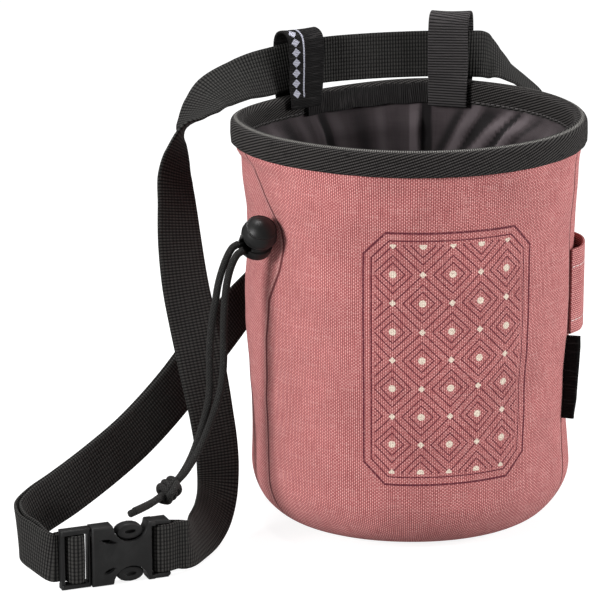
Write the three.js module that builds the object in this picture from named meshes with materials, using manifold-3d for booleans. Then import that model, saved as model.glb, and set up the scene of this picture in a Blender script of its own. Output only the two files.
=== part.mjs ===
// Climbing chalk bag: a round fabric bucket with a bound rim, a waist belt and a drawcord.
// Millimetres, +Z up. The bag's axis is the Z axis, its base stands on z = 0, its front faces -Y.
import * as THREE from "three";
import { mergeVertices } from "three/addons/utils/BufferGeometryUtils.js";
import Module from "manifold-3d";

const wasm = await Module();
wasm.setup();

// Body sizes
const bagHeight = 171;
const rimRadius = 72;
const shellWall = 1.8;
const liningWall = 1.2;
const baseRadius = 43;
const baseEdgeRadius = 24;
const baseThickness = 2.4;
const bindingHeight = 10.4;
const bindingTape = 1.5;
const rimThickness = 5.5;
const fitGap = 0.3;
const roundSteps = 44;

// Webbing, loops and tape
const webbingWidth = 20;
const webbingThickness = 1.6;
const webbingClearance = 0.5;
const beltAboveRim = 1.1;
const loopWidth = 17;
const loopTape = 1.2;
const loopLegOutside = 12;
const loopHeadroom = 6.5;
const innerTapeHeight = 8.9;
const innerTapeThickness = 1.1;
const innerTapeSpread = 62;

// Side release buckle, lying along its own axis with its foot on z = 0
const buckleLength = 43.6;
const railHeight = 1.9;
const webbingPlay = 0.35;
const buckleHeight = webbingWidth + (webbingPlay + railHeight) * 2;
const buckleDepth = 7.4;
const barThickness = 3;
const plugFrameLength = 12;
const socketGap = 0.35;
const slotLength = 3.5;
const windowDepth = buckleHeight * 0.294;
const windowHalfLength = buckleLength * 0.17;
const windowCentre = buckleLength * 0.6514;
const padHalfLength = windowHalfLength * 0.756;
const padHalfHeight = windowDepth * 0.444;
const padLift = windowDepth * 0.472;
const bucklePlace = { x: -1.944, y: -1.35, turn: 21.7 };

// Drawcord and its lock
const cordDiameter = 3;
const lockDomeRadius = 7.3;
const lockNeckRadius = 6;
const lockBaseRadius = 6.9;
const lockWall = 1.4;
const lockTravel = 3;
const lockSkirtGap = 0.4;
const lockBaseHeight = 5.2;
const lockNeckHeight = 5.4;
const lockStemRadius = 4.2;
const lockSlotWidth = 6.6;
const lockAxis = new THREE.Vector3(0.24, -0.58, 0.774).normalize();
const lockExit = new THREE.Vector3(-0.81, -0.556, -0.175).normalize();
const lockAngle = 212.5;
const lockLevel = 0.743;

// Side pieces
const brushLoopHeight = 36;
const brushLoopThickness = 1.2;
const sideTabThickness = 1.8;
const sideSeamAngle = 342;

const rose = { color: 0xc98382, roughness: 0.9 };
const blackTape = { color: 0x2b2929, roughness: 0.85 };
const plastic = { color: 0x1f1f1f, roughness: 0.45 };
const cloth = { color: 0x332e33, roughness: 0.8 };

const bag = new THREE.Group();

// General helpers
const rad = THREE.MathUtils.degToRad;
const around = (angle, radius, z) => {
  return new THREE.Vector3(Math.cos(rad(angle)) * radius, Math.sin(rad(angle)) * radius, z);
};
const bump = (x, halfWidth) => {
  const t = Math.min(1, Math.abs(x) / halfWidth);
  return (1 - t * t) ** 2;
};
const angleBetween = (a, b) => ((a - b + 540) % 360) - 180;

// Value of a column at a height share, by straight lines between the rows
function column(rows, key, share) {
  if (share <= rows[0].height) return rows[0][key];
  for (let i = 1; i < rows.length; i += 1) {
    const low = rows[i - 1];
    const high = rows[i];
    if (share <= high.height) {
      const t = (share - low.height) / (high.height - low.height);
      const soft = t * t * (3 - 2 * t);
      return low[key] + (high[key] - low[key]) * soft;
    }
  }
  return rows[rows.length - 1][key];
}

function addPiece(name, geometry, finish) {
  geometry.computeVertexNormals();
  const mesh = new THREE.Mesh(geometry, new THREE.MeshStandardMaterial({ metalness: 0, ...finish }));
  mesh.name = name;
  bag.add(mesh);
  return mesh;
}

function geometryFrom(points, triangles) {
  const geometry = new THREE.BufferGeometry();
  geometry.setAttribute("position", new THREE.Float32BufferAttribute(points.flatMap((p) => p.toArray()), 3));
  geometry.setIndex(triangles);
  return geometry;
}

// Closed skin through rings of points; ends are closed by a fan, or the last ring joins the first.
// The sides named in crossed are split along the other diagonal, so that both faces of a thin
// twisted strip are split alike.
function skin(rings, { joined = false, crossed = [] } = {}) {
  const points = rings.flat();
  const triangles = [];
  const count = rings[0].length;
  const last = joined ? rings.length : rings.length - 1;
  for (let i = 0; i < last; i += 1) {
    const next = (i + 1) % rings.length;
    for (let j = 0; j < count; j += 1) {
      const k = (j + 1) % count;
      const a = i * count + j;
      const b = i * count + k;
      const c = next * count + k;
      const d = next * count + j;
      if (crossed.includes(j)) triangles.push(a, b, d, b, c, d);
      else triangles.push(a, b, c, a, c, d);
    }
  }
  if (!joined) {
    const centre = (ring) => ring.reduce((sum, p) => sum.add(p), new THREE.Vector3()).divideScalar(count);
    const start = points.push(centre(rings[0])) - 1;
    const end = points.push(centre(rings[rings.length - 1])) - 1;
    const base = (rings.length - 1) * count;
    for (let j = 0; j < count; j += 1) {
      const k = (j + 1) % count;
      triangles.push(start, k, j);
      triangles.push(end, base + j, base + k);
    }
  }
  return geometryFrom(points, triangles);
}

// Join and cut with exact solids
function solid(geometry) {
  const bare = geometry.index ? geometry.toNonIndexed() : geometry.clone();
  bare.deleteAttribute("normal");
  bare.deleteAttribute("uv");
  const merged = mergeVertices(bare, 1e-4);
  return new wasm.Manifold(new wasm.Mesh({
    numProp: 3,
    vertProperties: Float32Array.from(merged.attributes.position.array),
    triVerts: Uint32Array.from(merged.index.array),
  }));
}

function geometryOf(manifold) {
  const mesh = manifold.getMesh();
  const geometry = new THREE.BufferGeometry();
  geometry.setAttribute("position", new THREE.Float32BufferAttribute(mesh.vertProperties, 3));
  geometry.setIndex(new THREE.Uint32BufferAttribute(mesh.triVerts, 1));
  return geometry;
}

const block = (x0, x1, y0, y1, z0, z1) => {
  const box = new THREE.BoxGeometry(x1 - x0, y1 - y0, z1 - z0);
  return solid(box.translate((x0 + x1) / 2, (y0 + y1) / 2, (z0 + z1) / 2));
};

// Outer form of the body: a bucket with a round lower edge, slightly waisted, with soft dents.
// Heights are shares of bagHeight, radii and depths shares of rimRadius, angles in degrees.
const bodyRows = [
  { height: 0.14, radius: 0.918 },
  { height: 0.25, radius: 0.915 },
  { height: 0.37, radius: 0.922 },
  { height: 0.5, radius: 0.936 },
  { height: 0.62, radius: 0.943 },
  { height: 0.75, radius: 0.944 },
  { height: 0.86, radius: 0.96 },
  { height: 0.95, radius: 0.972 },
];
const dentRows = [
  { angle: 196, height: 0.74, depth: 0.034, spread: 26, rise: 0.15 },
  { angle: 222, height: 0.66, depth: 0.022, spread: 16, rise: 0.22 },
  { angle: 232, height: 0.4, depth: 0.012, spread: 14, rise: 0.3 },
  { angle: 176, height: 0.5, depth: -0.012, spread: 30, rise: 0.22 },
  { angle: 6, height: 0.42, depth: 0.018, spread: 30, rise: 0.2 },
  { angle: 352, height: 0.12, depth: -0.014, spread: 40, rise: 0.14 },
  { angle: 100, height: 0.55, depth: 0.014, spread: 24, rise: 0.3 },
  { angle: 60, height: 0.35, depth: -0.01, spread: 26, rise: 0.22 },
  { angle: 356, height: 0.587, depth: 0.012, spread: 20, rise: 0.16 },
];

function bodyRadius(angle, z) {
  const share = z / bagHeight;
  let radius = column(bodyRows, "radius", share) * rimRadius;
  for (const dent of dentRows) {
    const sideways = bump(angleBetween(angle, dent.angle), dent.spread);
    const upwards = bump(share - dent.height, dent.rise);
    radius -= dent.depth * rimRadius * sideways * upwards;
  }
  return radius;
}

// The round lower edge, as an arc from the flat base up to the wall, tucked in at the front
const baseTuckRow = { angle: 268, depth: 0.14, spread: 72 };
function baseArc(angle, turn, inset) {
  const tuck = baseTuckRow.depth * bump(angleBetween(angle, baseTuckRow.angle), baseTuckRow.spread);
  const flat = baseRadius * (1 - tuck);
  const reach = bodyRadius(angle, baseEdgeRadius) - flat;
  const radius = flat + (reach - inset) * Math.sin(rad(turn));
  const z = inset + (baseEdgeRadius - inset) * (1 - Math.cos(rad(turn)));
  return around(angle, radius, z);
}

// The rim dips a little at the back left
const rimDipRow = { angle: 138, depth: 0.019, spread: 62 };
const rimDip = (angle) => {
  return rimDipRow.depth * bagHeight * bump(angleBetween(angle, rimDipRow.angle), rimDipRow.spread);
};
// and is pushed out at the left
const rimSwellRow = { angle: 192, depth: 0.029, spread: 54 };
const rimSwell = (angle) => {
  return rimSwellRow.depth * rimRadius * bump(angleBetween(angle, rimSwellRow.angle), rimSwellRow.spread);
};
const rimFall = (angle, z) => {
  const start = bagHeight * 0.8;
  const share = THREE.MathUtils.clamp((z - start) / (bagHeight - start), 0, 1);
  return z - rimDip(angle) * share;
};

const angles = Array.from({ length: roundSteps }, (_, i) => (360 * i) / roundSteps);
const ringAt = (radiusOf, zOf) => angles.map((angle) => around(angle, radiusOf(angle), zOf(angle)));

// Rim: binding tape folded over the wall, both legs equally deep
const bindingInner = rimRadius - rimThickness;
const shellTop = bagHeight - bindingTape - fitGap;
const wallOutside = rimRadius - bindingTape - fitGap;
const wallInside = bindingInner + bindingTape + fitGap;
const bindingFoot = bagHeight - bindingHeight;
const insideFace = bindingInner * Math.cos(Math.PI / roundSteps);

function makeBinding() {
  const roundover = 1.5;
  const rows = [
    { radius: rimRadius - 0.1, z: bindingFoot },
    { radius: rimRadius, z: bagHeight - roundover * 2 },
    { radius: rimRadius - roundover * 0.4, z: bagHeight - roundover * 0.6 },
    { radius: rimRadius - roundover, z: bagHeight },
    { radius: bindingInner + roundover, z: bagHeight },
    { radius: bindingInner + roundover * 0.4, z: bagHeight - roundover * 0.6 },
    { radius: bindingInner, z: bagHeight - roundover * 2 },
    { radius: bindingInner, z: bindingFoot },
    { radius: bindingInner + bindingTape, z: bindingFoot },
    { radius: bindingInner + bindingTape, z: bagHeight - bindingTape },
    { radius: rimRadius - bindingTape, z: bagHeight - bindingTape },
    { radius: rimRadius - bindingTape, z: bindingFoot },
  ];
  const rings = rows.map((row) => {
    return ringAt((angle) => row.radius + rimSwell(angle), (angle) => rimFall(angle, row.z));
  });
  return skin(rings, { joined: true });
}

// The wall is led into the slot of the binding above the level where the binding starts
function shellOuter(angle, z) {
  const free = bodyRadius(angle, z);
  const lead = THREE.MathUtils.smoothstep(z, bindingFoot - 7, bindingFoot - 1);
  return free + (wallOutside + rimSwell(angle) - free) * lead;
}
function shellInner(angle, z) {
  const free = bodyRadius(angle, z) - shellWall;
  const lead = THREE.MathUtils.smoothstep(z, bindingFoot - 7, bindingFoot - 1);
  const held = Math.max(wallInside, wallOutside - shellWall) + rimSwell(angle);
  return free + (held - free) * lead;
}

// Levels of the wall as shares of its straight part; the last two lie in the binding
const wallShares = [0, 0.2, 0.4, 0.55, 0.66, 0.75, 0.83, 0.886, 0.934, 1];
const wallLevels = wallShares.map((share) => baseEdgeRadius + (shellTop - baseEdgeRadius) * share);
const edgeTurns = [0, 28, 54, 74];

function makeShell() {
  const rings = [];
  edgeTurns.forEach((turn) => rings.push(angles.map((angle) => baseArc(angle, turn, 0))));
  wallLevels.forEach((z) => {
    rings.push(ringAt((angle) => shellOuter(angle, z), (angle) => rimFall(angle, z)));
  });
  [...wallLevels].reverse().forEach((z) => {
    rings.push(ringAt((angle) => shellInner(angle, z), (angle) => rimFall(angle, z)));
  });
  [...edgeTurns].reverse().forEach((turn) => {
    rings.push(angles.map((angle) => baseArc(angle, turn, shellWall)));
  });
  return skin(rings, { joined: true });
}

// Round panel that closes the bottom, sewn to the foot of the wall
function makeBasePanel() {
  const edge = (z) => angles.map((angle) => {
    const foot = baseArc(angle, 0, 0);
    return around(angle, Math.hypot(foot.x, foot.y) - fitGap, z);
  });
  return skin([edge(0), edge(shellWall)]);
}

// Lining: stands off the wall by an inset that is deepest at the drawcord, with gathers there.
// Insets and gathers are shares of rimRadius.
const liningRows = [
  { height: 0.14, inset: 0.004, gather: 0 },
  { height: 0.45, inset: 0.01, gather: 0.004 },
  { height: 0.6, inset: 0.03, gather: 0.012 },
  { height: 0.7, inset: 0.07, gather: 0.03 },
  { height: 0.745, inset: 0.09, gather: 0.036 },
  { height: 0.8, inset: 0.07, gather: 0.03 },
  { height: 0.87, inset: 0.026, gather: 0.014 },
  { height: 0.93, inset: 0.004, gather: 0 },
];
const gatherCount = 9;

function liningOuter(angle, z) {
  const share = z / bagHeight;
  const inset = column(liningRows, "inset", share) * rimRadius;
  const gather = column(liningRows, "gather", share) * rimRadius;
  const wave = 0.5 - 0.5 * Math.cos(rad(angle * gatherCount + 40 * Math.sin(rad(angle * 2))));
  return shellInner(angle, z) - fitGap - inset - gather * wave;
}

// The drawcord's channel parts the lining into a cup and a collar
const channelLevel = wallLevels[5] + 5;
const liningTop = bindingFoot - fitGap;
const liningRing = (z, inset) => {
  return ringAt((angle) => liningOuter(angle, z) - inset, (angle) => rimFall(angle, z));
};

function makeLiningCollar() {
  const between = wallLevels.filter((z) => z > channelLevel + 4 && z < liningTop - 2);
  const levels = [channelLevel + fitGap / 2, ...between, liningTop];
  const outside = levels.map((z) => liningRing(z, 0));
  const inside = [...levels].reverse().map((z) => liningRing(z, liningWall));
  return skin([...outside, ...inside], { joined: true });
}

function makeLining() {
  const levels = [...wallLevels.filter((z) => z < channelLevel - 4), channelLevel - fitGap / 2];
  const outset = shellWall + fitGap;
  const rings = [ringAt(() => baseRadius * 0.5, () => outset)];
  edgeTurns.forEach((turn) => rings.push(angles.map((angle) => baseArc(angle, turn, outset))));
  levels.forEach((z) => rings.push(liningRing(z, 0)));
  [...levels].reverse().forEach((z) => rings.push(liningRing(z, liningWall)));
  const floor = outset + baseThickness;
  [...edgeTurns].reverse().forEach((turn) => {
    rings.push(angles.map((angle) => baseArc(angle, turn, floor)));
  });
  rings.push(ringAt(() => baseRadius * 0.5, () => floor));
  return skin(rings);
}

// Flat strip of a given width and thickness along stations. Each station has a centre and the
// direction of the width; steps are the number of pieces between two stations.
function ribbon(stations, width, thickness, steps) {
  const centres = new THREE.CatmullRomCurve3(stations.map((s) => s.centre), false, "centripetal");
  const spans = stations.length - 1;
  const rings = [];
  for (let i = 0; i <= spans * steps; i += 1) {
    const t = i / (spans * steps);
    const index = Math.min(spans - 1, Math.floor(i / steps));
    const part = i / steps - index;
    const centre = centres.getPoint(t);
    const tangent = centres.getTangent(t);
    const side = stations[index].side.clone().lerp(stations[index + 1].side, part);
    side.addScaledVector(tangent, -side.dot(tangent)).normalize();
    const face = new THREE.Vector3().crossVectors(tangent, side).normalize();
    const corner = (across, outward) => {
      const edge = centre.clone().addScaledVector(side, across * width / 2);
      return edge.addScaledVector(face, outward * thickness / 2);
    };
    rings.push([corner(1, -1), corner(1, 1), corner(-1, 1), corner(-1, -1)]);
  }
  return skin(rings, { crossed: [3] });
}

const station = (centre, side) => ({ centre, side: side.clone().normalize() });

// Buckle frame: along runs from the plug to the socket, back points away from the viewer
const buckleBase = new THREE.Vector3(bucklePlace.x * rimRadius, bucklePlace.y * rimRadius, 0);
const buckleTurn = rad(bucklePlace.turn);
const buckleMatrix = new THREE.Matrix4().makeRotationZ(buckleTurn).setPosition(buckleBase);
const inBuckle = (along, back, up = 0) => {
  return new THREE.Vector3(along, back, up + buckleHeight / 2).applyMatrix4(buckleMatrix);
};
const down = new THREE.Vector3(0, 0, -1);
const up = new THREE.Vector3(0, 0, 1);

// Bars of the buckle that the webbing turns round, and the radius of that turn
const adjusterBar = plugFrameLength / 2 + 0.5;
const socketBar = buckleLength - barThickness / 2 - 0.3;
const wrapRadius = barThickness / 2 + webbingClearance + webbingThickness / 2;
const layer = webbingThickness + webbingClearance;

// Turn of the webbing round a bar, from one angle to another in the buckle's plan
function wrap(barAlong, from, to, count) {
  return Array.from({ length: count + 1 }, (_, i) => {
    const angle = rad(from + ((to - from) * i) / count);
    const along = barAlong + Math.cos(angle) * wrapRadius;
    return station(inBuckle(along, Math.sin(angle) * wrapRadius), down);
  });
}

// Belt route where it hangs free. x and y are shares of rimRadius, rise is the share of the way
// from the webbing standing on the ground up to its level in the loops. The side columns give
// the direction of the width, towards one and the same edge all the way.
const beltLow = webbingWidth / 2 + 0.4;
const beltHigh = bagHeight + beltAboveRim + webbingWidth / 2;
const frontStrand = [
  { x: -1.26, y: -1.04, rise: 0.001, sideX: 0.06, sideY: 0.04, sideZ: -1 },
  { x: -1.203, y: -0.86, rise: -0.003, sideX: 0.38, sideY: 0.28, sideZ: -0.88 },
  { x: -1.152, y: -0.66, rise: -0.001, sideX: 0.58, sideY: 0.4, sideZ: -0.71 },
  { x: -1.118, y: -0.5, rise: 0.02, sideX: 0.74, sideY: 0.46, sideZ: -0.5 },
  { x: -1.104, y: -0.41, rise: 0.058, sideX: 0.82, sideY: 0.5, sideZ: -0.26 },
  { x: -1.107, y: -0.37, rise: 0.13, sideX: 0.85, sideY: 0.49, sideZ: -0.17 },
  { x: -1.142, y: -0.33, rise: 0.23, sideX: 0.89, sideY: 0.42, sideZ: -0.14 },
  { x: -1.19, y: -0.27, rise: 0.33, sideX: 0.96, sideY: 0.24, sideZ: -0.07 },
  { x: -1.239, y: -0.194, rise: 0.424, sideX: 0.98, sideY: 0.16, sideZ: -0.03 },
  { x: -1.288, y: -0.125, rise: 0.52, sideX: 0.96, sideY: 0.27, sideZ: -0.08 },
  { x: -1.32, y: -0.042, rise: 0.615, sideX: 0.89, sideY: 0.44, sideZ: -0.12 },
  { x: -1.338, y: 0.042, rise: 0.703, sideX: 0.76, sideY: 0.63, sideZ: -0.16 },
  { x: -1.35, y: 0.097, rise: 0.76, sideX: 0.68, sideY: 0.72, sideZ: -0.17 },
  { x: -1.34, y: 0.153, rise: 0.808, sideX: 0.49, sideY: 0.85, sideZ: -0.2 },
  { x: -1.306, y: 0.215, rise: 0.869, sideX: 0.08, sideY: 0.99, sideZ: -0.1 },
  { x: -1.258, y: 0.271, rise: 0.893, sideX: -0.24, sideY: 0.97, sideZ: 0.06 },
  { x: -1.2, y: 0.34, rise: 0.918, sideX: -0.25, sideY: 0.89, sideZ: 0.38 },
  { x: -1.126, y: 0.417, rise: 0.945, sideX: -0.31, sideY: 0.77, sideZ: 0.56 },
  { x: -0.985, y: 0.514, rise: 0.967, sideX: -0.41, sideY: 0.6, sideZ: 0.67 },
  { x: -0.796, y: 0.625, rise: 0.981, sideX: -0.21, sideY: 0.12, sideZ: 0.96 },
];
const topRun = [
  { x: -0.565, y: 0.762, rise: 0.993, sideX: 0, sideY: 0, sideZ: 1 },
  { x: -0.2, y: 0.885, rise: 0.997, sideX: 0, sideY: 0, sideZ: 1 },
  { x: 0.243, y: 0.925, rise: 1, sideX: 0, sideY: 0, sideZ: 1 },
  { x: 0.375, y: 0.922, rise: 0.999, sideX: 0, sideY: 0.02, sideZ: 1 },
  { x: 0.454, y: 0.958, rise: 0.995, sideX: 0.05, sideY: 0.3, sideZ: 0.95 },
  { x: 0.51, y: 1.02, rise: 0.981, sideX: 0.3, sideY: 0.8, sideZ: 0.5 },
  { x: 0.57, y: 1.05, rise: 0.962, sideX: 0.3, sideY: 0.93, sideZ: 0.15 },
  { x: 0.641, y: 1.072, rise: 0.936, sideX: 0.22, sideY: 0.97, sideZ: -0.03 },
  { x: 0.721, y: 1.086, rise: 0.908, sideX: 0.2, sideY: 0.98, sideZ: -0.03 },
  { x: 0.8, y: 1.09, rise: 0.876, sideX: 0.2, sideY: 0.98, sideZ: -0.02 },
];
const backStrand = [
  { x: 0.852, y: 1.09, rise: 0.838, sideX: 0.18, sideY: 0.98, sideZ: -0.03 },
  { x: 0.862, y: 1.085, rise: 0.792, sideX: 0.12, sideY: 0.98, sideZ: -0.08 },
  { x: 0.8, y: 1.085, rise: 0.742, sideX: 0.1, sideY: 0.95, sideZ: -0.28 },
  { x: 0.66, y: 1.1, rise: 0.7, sideX: 0.2, sideY: 0.78, sideZ: -0.58 },
  { x: 0.48, y: 1.125, rise: 0.655, sideX: 0.28, sideY: 0.45, sideZ: -0.84 },
  { x: 0.3, y: 1.14, rise: 0.61, sideX: 0.28, sideY: 0.16, sideZ: -0.94 },
  { x: 0, y: 1.11, rise: 0.56, sideX: 0.18, sideY: 0.04, sideZ: -0.98 },
  { x: -0.3, y: 1.03, rise: 0.525, sideX: 0.12, sideY: -0.04, sideZ: -0.99 },
  { x: -0.58, y: 0.85, rise: 0.495, sideX: 0.1, sideY: -0.08, sideZ: -0.99 },
  { x: -0.81, y: 0.58, rise: 0.463, sideX: 0.1, sideY: -0.06, sideZ: -0.99 },
  { x: -0.968, y: 0.306, rise: 0.427, sideX: 0.16, sideY: -0.02, sideZ: -0.98 },
  { x: -1.16, y: 0.1, rise: 0.345, sideX: 0.28, sideY: 0, sideZ: -0.96 },
  { x: -1.353, y: -0.11, rise: 0.254, sideX: 0.37, sideY: 0, sideZ: -0.93 },
  { x: -1.564, y: -0.333, rise: 0.177, sideX: 0.42, sideY: 0, sideZ: -0.91 },
  { x: -1.75, y: -0.54, rise: 0.13, sideX: 0.44, sideY: 0, sideZ: -0.9 },
  { x: -1.95, y: -0.75, rise: 0.088, sideX: 0.42, sideY: 0, sideZ: -0.91 },
  { x: -2.09, y: -0.89, rise: 0.062, sideX: 0.28, sideY: 0, sideZ: -0.96 },
  { x: -2.155, y: -1, rise: 0.045, sideX: 0.14, sideY: 0, sideZ: -0.99 },
  { x: -2.145, y: -1.11, rise: 0.033, sideX: 0.04, sideY: 0, sideZ: -1 },
  { x: -2.085, y: -1.19, rise: 0.024, sideX: 0, sideY: 0, sideZ: -1 },
];
const toStation = (row) => {
  const z = beltLow + (beltHigh - beltLow) * row.rise;
  const centre = new THREE.Vector3(row.x * rimRadius, row.y * rimRadius, z);
  return station(centre, new THREE.Vector3(row.sideX, row.sideY, row.sideZ));
};
const beltSewn = 11;
const tailRows = 9;

// The free end follows the strap back, one layer further out
function outerLayer(stations) {
  return stations.map((current, i) => {
    const before = stations[Math.max(0, i - 1)].centre;
    const after = stations[Math.min(stations.length - 1, i + 1)].centre;
    const tangent = after.clone().sub(before).normalize();
    const face = tangent.cross(current.side).normalize();
    return station(current.centre.clone().addScaledVector(face, -layer * 1.15), current.side);
  });
}

function makeBelt() {
  const backStations = backStrand.map(toStation);
  const sewnEnd = [
    station(inBuckle(socketBar + beltSewn, -layer * 0.5), down),
    station(inBuckle(socketBar + beltSewn * 0.6, -layer * 0.55), down),
    station(inBuckle(socketBar + beltSewn * 0.3, -wrapRadius * 0.86), down),
  ];
  const sewnWrap = wrap(socketBar, 290, 70, 5);
  const leaving = [
    station(inBuckle(socketBar + beltSewn * 0.3, wrapRadius * 0.86), down),
    station(inBuckle(socketBar + beltSewn * 0.6, layer * 0.55), down),
  ];
  const arriving = [
    station(inBuckle(-2.2, barThickness / 2 + fitGap + layer * 1.75), down),
    station(inBuckle(2.2, barThickness / 2 + fitGap + layer * 1.6), down),
    station(inBuckle(adjusterBar - 0.4, barThickness / 2 + fitGap + layer * 1.5), down),
    station(inBuckle(adjusterBar + wrapRadius * 0.8, wrapRadius * 0.75), down),
  ];
  const adjusterWrap = wrap(adjusterBar, 0, -180, 4);
  const tailStart = [
    station(inBuckle(adjusterBar - wrapRadius - 0.35, wrapRadius * 0.62), down),
    station(inBuckle(1.6, barThickness / 2 + fitGap * 2 + webbingThickness / 2), down),
    station(inBuckle(-2.2, barThickness / 2 + fitGap + webbingThickness * 0.7), down),
  ];
  const tail = outerLayer(backStations.slice(-tailRows)).reverse();
  const stations = [
    ...sewnEnd, ...sewnWrap, ...leaving,
    ...frontStrand.map(toStation), ...topRun.map(toStation), ...backStations,
    ...arriving, ...adjusterWrap, ...tailStart, ...tail,
  ];
  return ribbon(stations, webbingWidth, webbingThickness, 2);
}

// Belt loops: a strip up the inside of the rim, over the belt and down the outside. The strip
// turns above the rim to follow the belt.
const loopRows = [
  { name: "belt_loop_left", angle: 132.4, lift: 0.95, turn: -12.5, legInside: 5 },
  { name: "belt_loop_right", angle: 73.9, lift: 1.2, turn: 15, legInside: 11 },
];

function makeLoop(row) {
  const out = around(row.angle, 1, 0);
  const side = new THREE.Vector3().crossVectors(out, up).normalize();
  const dip = rimDip(row.angle);
  const rimTop = bagHeight - dip;
  const tapeFace = insideFace - innerTapeThickness - fitGap * 2;
  const insideRadius = Math.sqrt(tapeFace ** 2 - (loopWidth / 2) ** 2) - loopTape / 2;
  const outsideRadius = rimRadius + fitGap + loopTape / 2;
  const middle = (insideRadius + outsideRadius) / 2;
  const crown = rimTop + beltAboveRim + webbingWidth + loopHeadroom * row.lift;
  const half = (outsideRadius - insideRadius) / 2;
  const arch = [0, 45, 90, 135, 180].map((turn) => {
    const radius = middle - Math.cos(rad(turn)) * half;
    return { radius, z: crown - half + Math.sin(rad(turn)) * half, turned: 1 };
  });
  const rows = [
    { radius: insideRadius, z: rimTop - row.legInside, turned: 0 },
    { radius: insideRadius, z: rimTop, turned: 0 },
    { radius: insideRadius, z: rimTop + 3, turned: 0.6 },
    ...arch,
    { radius: outsideRadius, z: rimTop + 3, turned: 0.6 },
    { radius: outsideRadius, z: rimTop - loopLegOutside * 0.2, turned: 0 },
    { radius: outsideRadius, z: rimTop - loopLegOutside, turned: 0 },
  ];
  const stations = rows.map((r) => {
    const turnedSide = side.clone().applyAxisAngle(up, rad(row.turn * r.turned));
    return station(around(row.angle, r.radius, r.z), turnedSide);
  });
  return ribbon(stations, loopWidth, loopTape, 1);
}

// Ribbed tape along the inside of the rim, behind the legs of the loops
function makeInnerTape() {
  const middleAngle = (loopRows[0].angle + loopRows[1].angle) / 2 - 4;
  const outside = insideFace - fitGap;
  const inside = outside - innerTapeThickness;
  const top = bagHeight - 1.2;
  const steps = 14;
  const rings = [];
  for (let i = 0; i <= steps; i += 1) {
    const angle = middleAngle + innerTapeSpread * (i / steps - 0.5);
    const foot = top - innerTapeHeight;
    rings.push([
      around(angle, outside, rimFall(angle, foot)),
      around(angle, inside, rimFall(angle, foot)),
      around(angle, inside, rimFall(angle, top)),
      around(angle, outside, rimFall(angle, top)),
    ]);
  }
  return skin(rings);
}

// Brush loop: a sleeve that stands off the wall between the side seam and a second seam behind it.
// Angles run on from the side seam; stand is in shares of rimRadius, negative inside the wall.
const brushLoopLevel = bagHeight * 0.587;
const sleeveRows = [
  { turn: 0.6, stand: -0.018 },
  { turn: 2.6, stand: 0.018 },
  { turn: 6, stand: 0.044 },
  { turn: 10.5, stand: 0.055 },
  { turn: 15.5, stand: 0.058 },
  { turn: 20.5, stand: 0.048 },
  { turn: 24.5, stand: 0.02 },
  { turn: 26.6, stand: -0.018 },
];

function makeSleeve() {
  const stations = sleeveRows.map((row) => {
    const angle = sideSeamAngle + row.turn;
    const radius = bodyRadius(angle, brushLoopLevel) + row.stand * rimRadius;
    return station(around(angle, radius, brushLoopLevel), up);
  });
  return ribbon(stations, brushLoopHeight, brushLoopThickness, 2);
}

// Side tab: folded tape caught in the side seam, standing straight out from the wall.
// Heights and stands are shares of bagHeight.
const tabRows = [
  { height: 0.272, stand: 0.031 },
  { height: 0.33, stand: 0.036 },
  { height: 0.4, stand: 0.038 },
  { height: 0.45, stand: 0.037 },
  { height: 0.479, stand: 0.035 },
];

function makeTab() {
  const out = around(sideSeamAngle, 1, 0);
  const side = new THREE.Vector3().crossVectors(out, up).normalize();
  const rings = tabRows.map((row) => {
    const z = row.height * bagHeight;
    const wall = bodyRadius(sideSeamAngle, z);
    const corner = (radius, across) => {
      return around(sideSeamAngle, radius, z).addScaledVector(side, across * sideTabThickness / 2);
    };
    const outer = wall + row.stand * bagHeight;
    const inner = wall - 1;
    return [corner(inner, 1), corner(outer, 1), corner(outer, -1), corner(inner, -1)];
  });
  return skin(rings);
}

// Cuts that seat a strip on the wall are made with the wall grown by the fit gap
function wallKeepout(low, high) {
  const steps = 8;
  const rings = [];
  for (let i = 0; i <= steps; i += 1) {
    const z = low + ((high - low) * i) / steps;
    rings.push(ringAt((angle) => shellOuter(angle, z) + fitGap, () => z));
  }
  return solid(skin(rings));
}

// Outline drawn in the buckle's plane, given a depth and softened edges
function plate(outline, depth, edge) {
  const shape = new THREE.Shape(outline.map(([x, y]) => new THREE.Vector2(x, y)));
  const geometry = new THREE.ExtrudeGeometry(shape, {
    depth: depth - edge * 2,
    bevelEnabled: edge > 0,
    bevelThickness: edge,
    bevelSize: edge,
    bevelOffset: -edge,
    bevelSegments: 1,
    steps: 1,
  });
  geometry.translate(0, 0, edge - depth / 2);
  return solid(geometry.rotateX(Math.PI / 2));
}
const cutter = (outline) => plate(outline, buckleDepth * 2, 0);

const oval = (x, y, rx, ry, count, from = 0, to = 360) => {
  const closed = Math.abs(to - from) === 360;
  const last = closed ? count - 1 : count;
  return Array.from({ length: last + 1 }, (_, i) => {
    const angle = rad(from + ((to - from) * i) / count);
    return [x + Math.cos(angle) * rx, y + Math.sin(angle) * ry];
  });
};
const rectangle = (x0, x1, y0, y1) => [[x0, y0], [x1, y0], [x1, y1], [x0, y1]];
const mirrored = (outline) => outline.map(([x, y]) => [x, buckleHeight - y]).reverse();

// A leaf shaped hole, pointed at both ends
function leaf(x, y, length, height, slope) {
  const across = [-0.5, -0.25, 0, 0.25, 0.5];
  const top = across.map((t) => [x + t * length, y + t * slope + height * (0.25 - t * t) * 2]);
  const bottom = across.slice(1, -1).reverse().map((t) => {
    return [x + t * length, y + t * slope - height * (0.25 - t * t) * 2];
  });
  return [...top, ...bottom].reverse();
}

// Upright round bar for the webbing
function roundBar(along, z0, z1) {
  const bar = new THREE.CylinderGeometry(barThickness / 2, barThickness / 2, z1 - z0, 8);
  return solid(bar.rotateX(Math.PI / 2).translate(along, 0, (z0 + z1) / 2));
}

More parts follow.
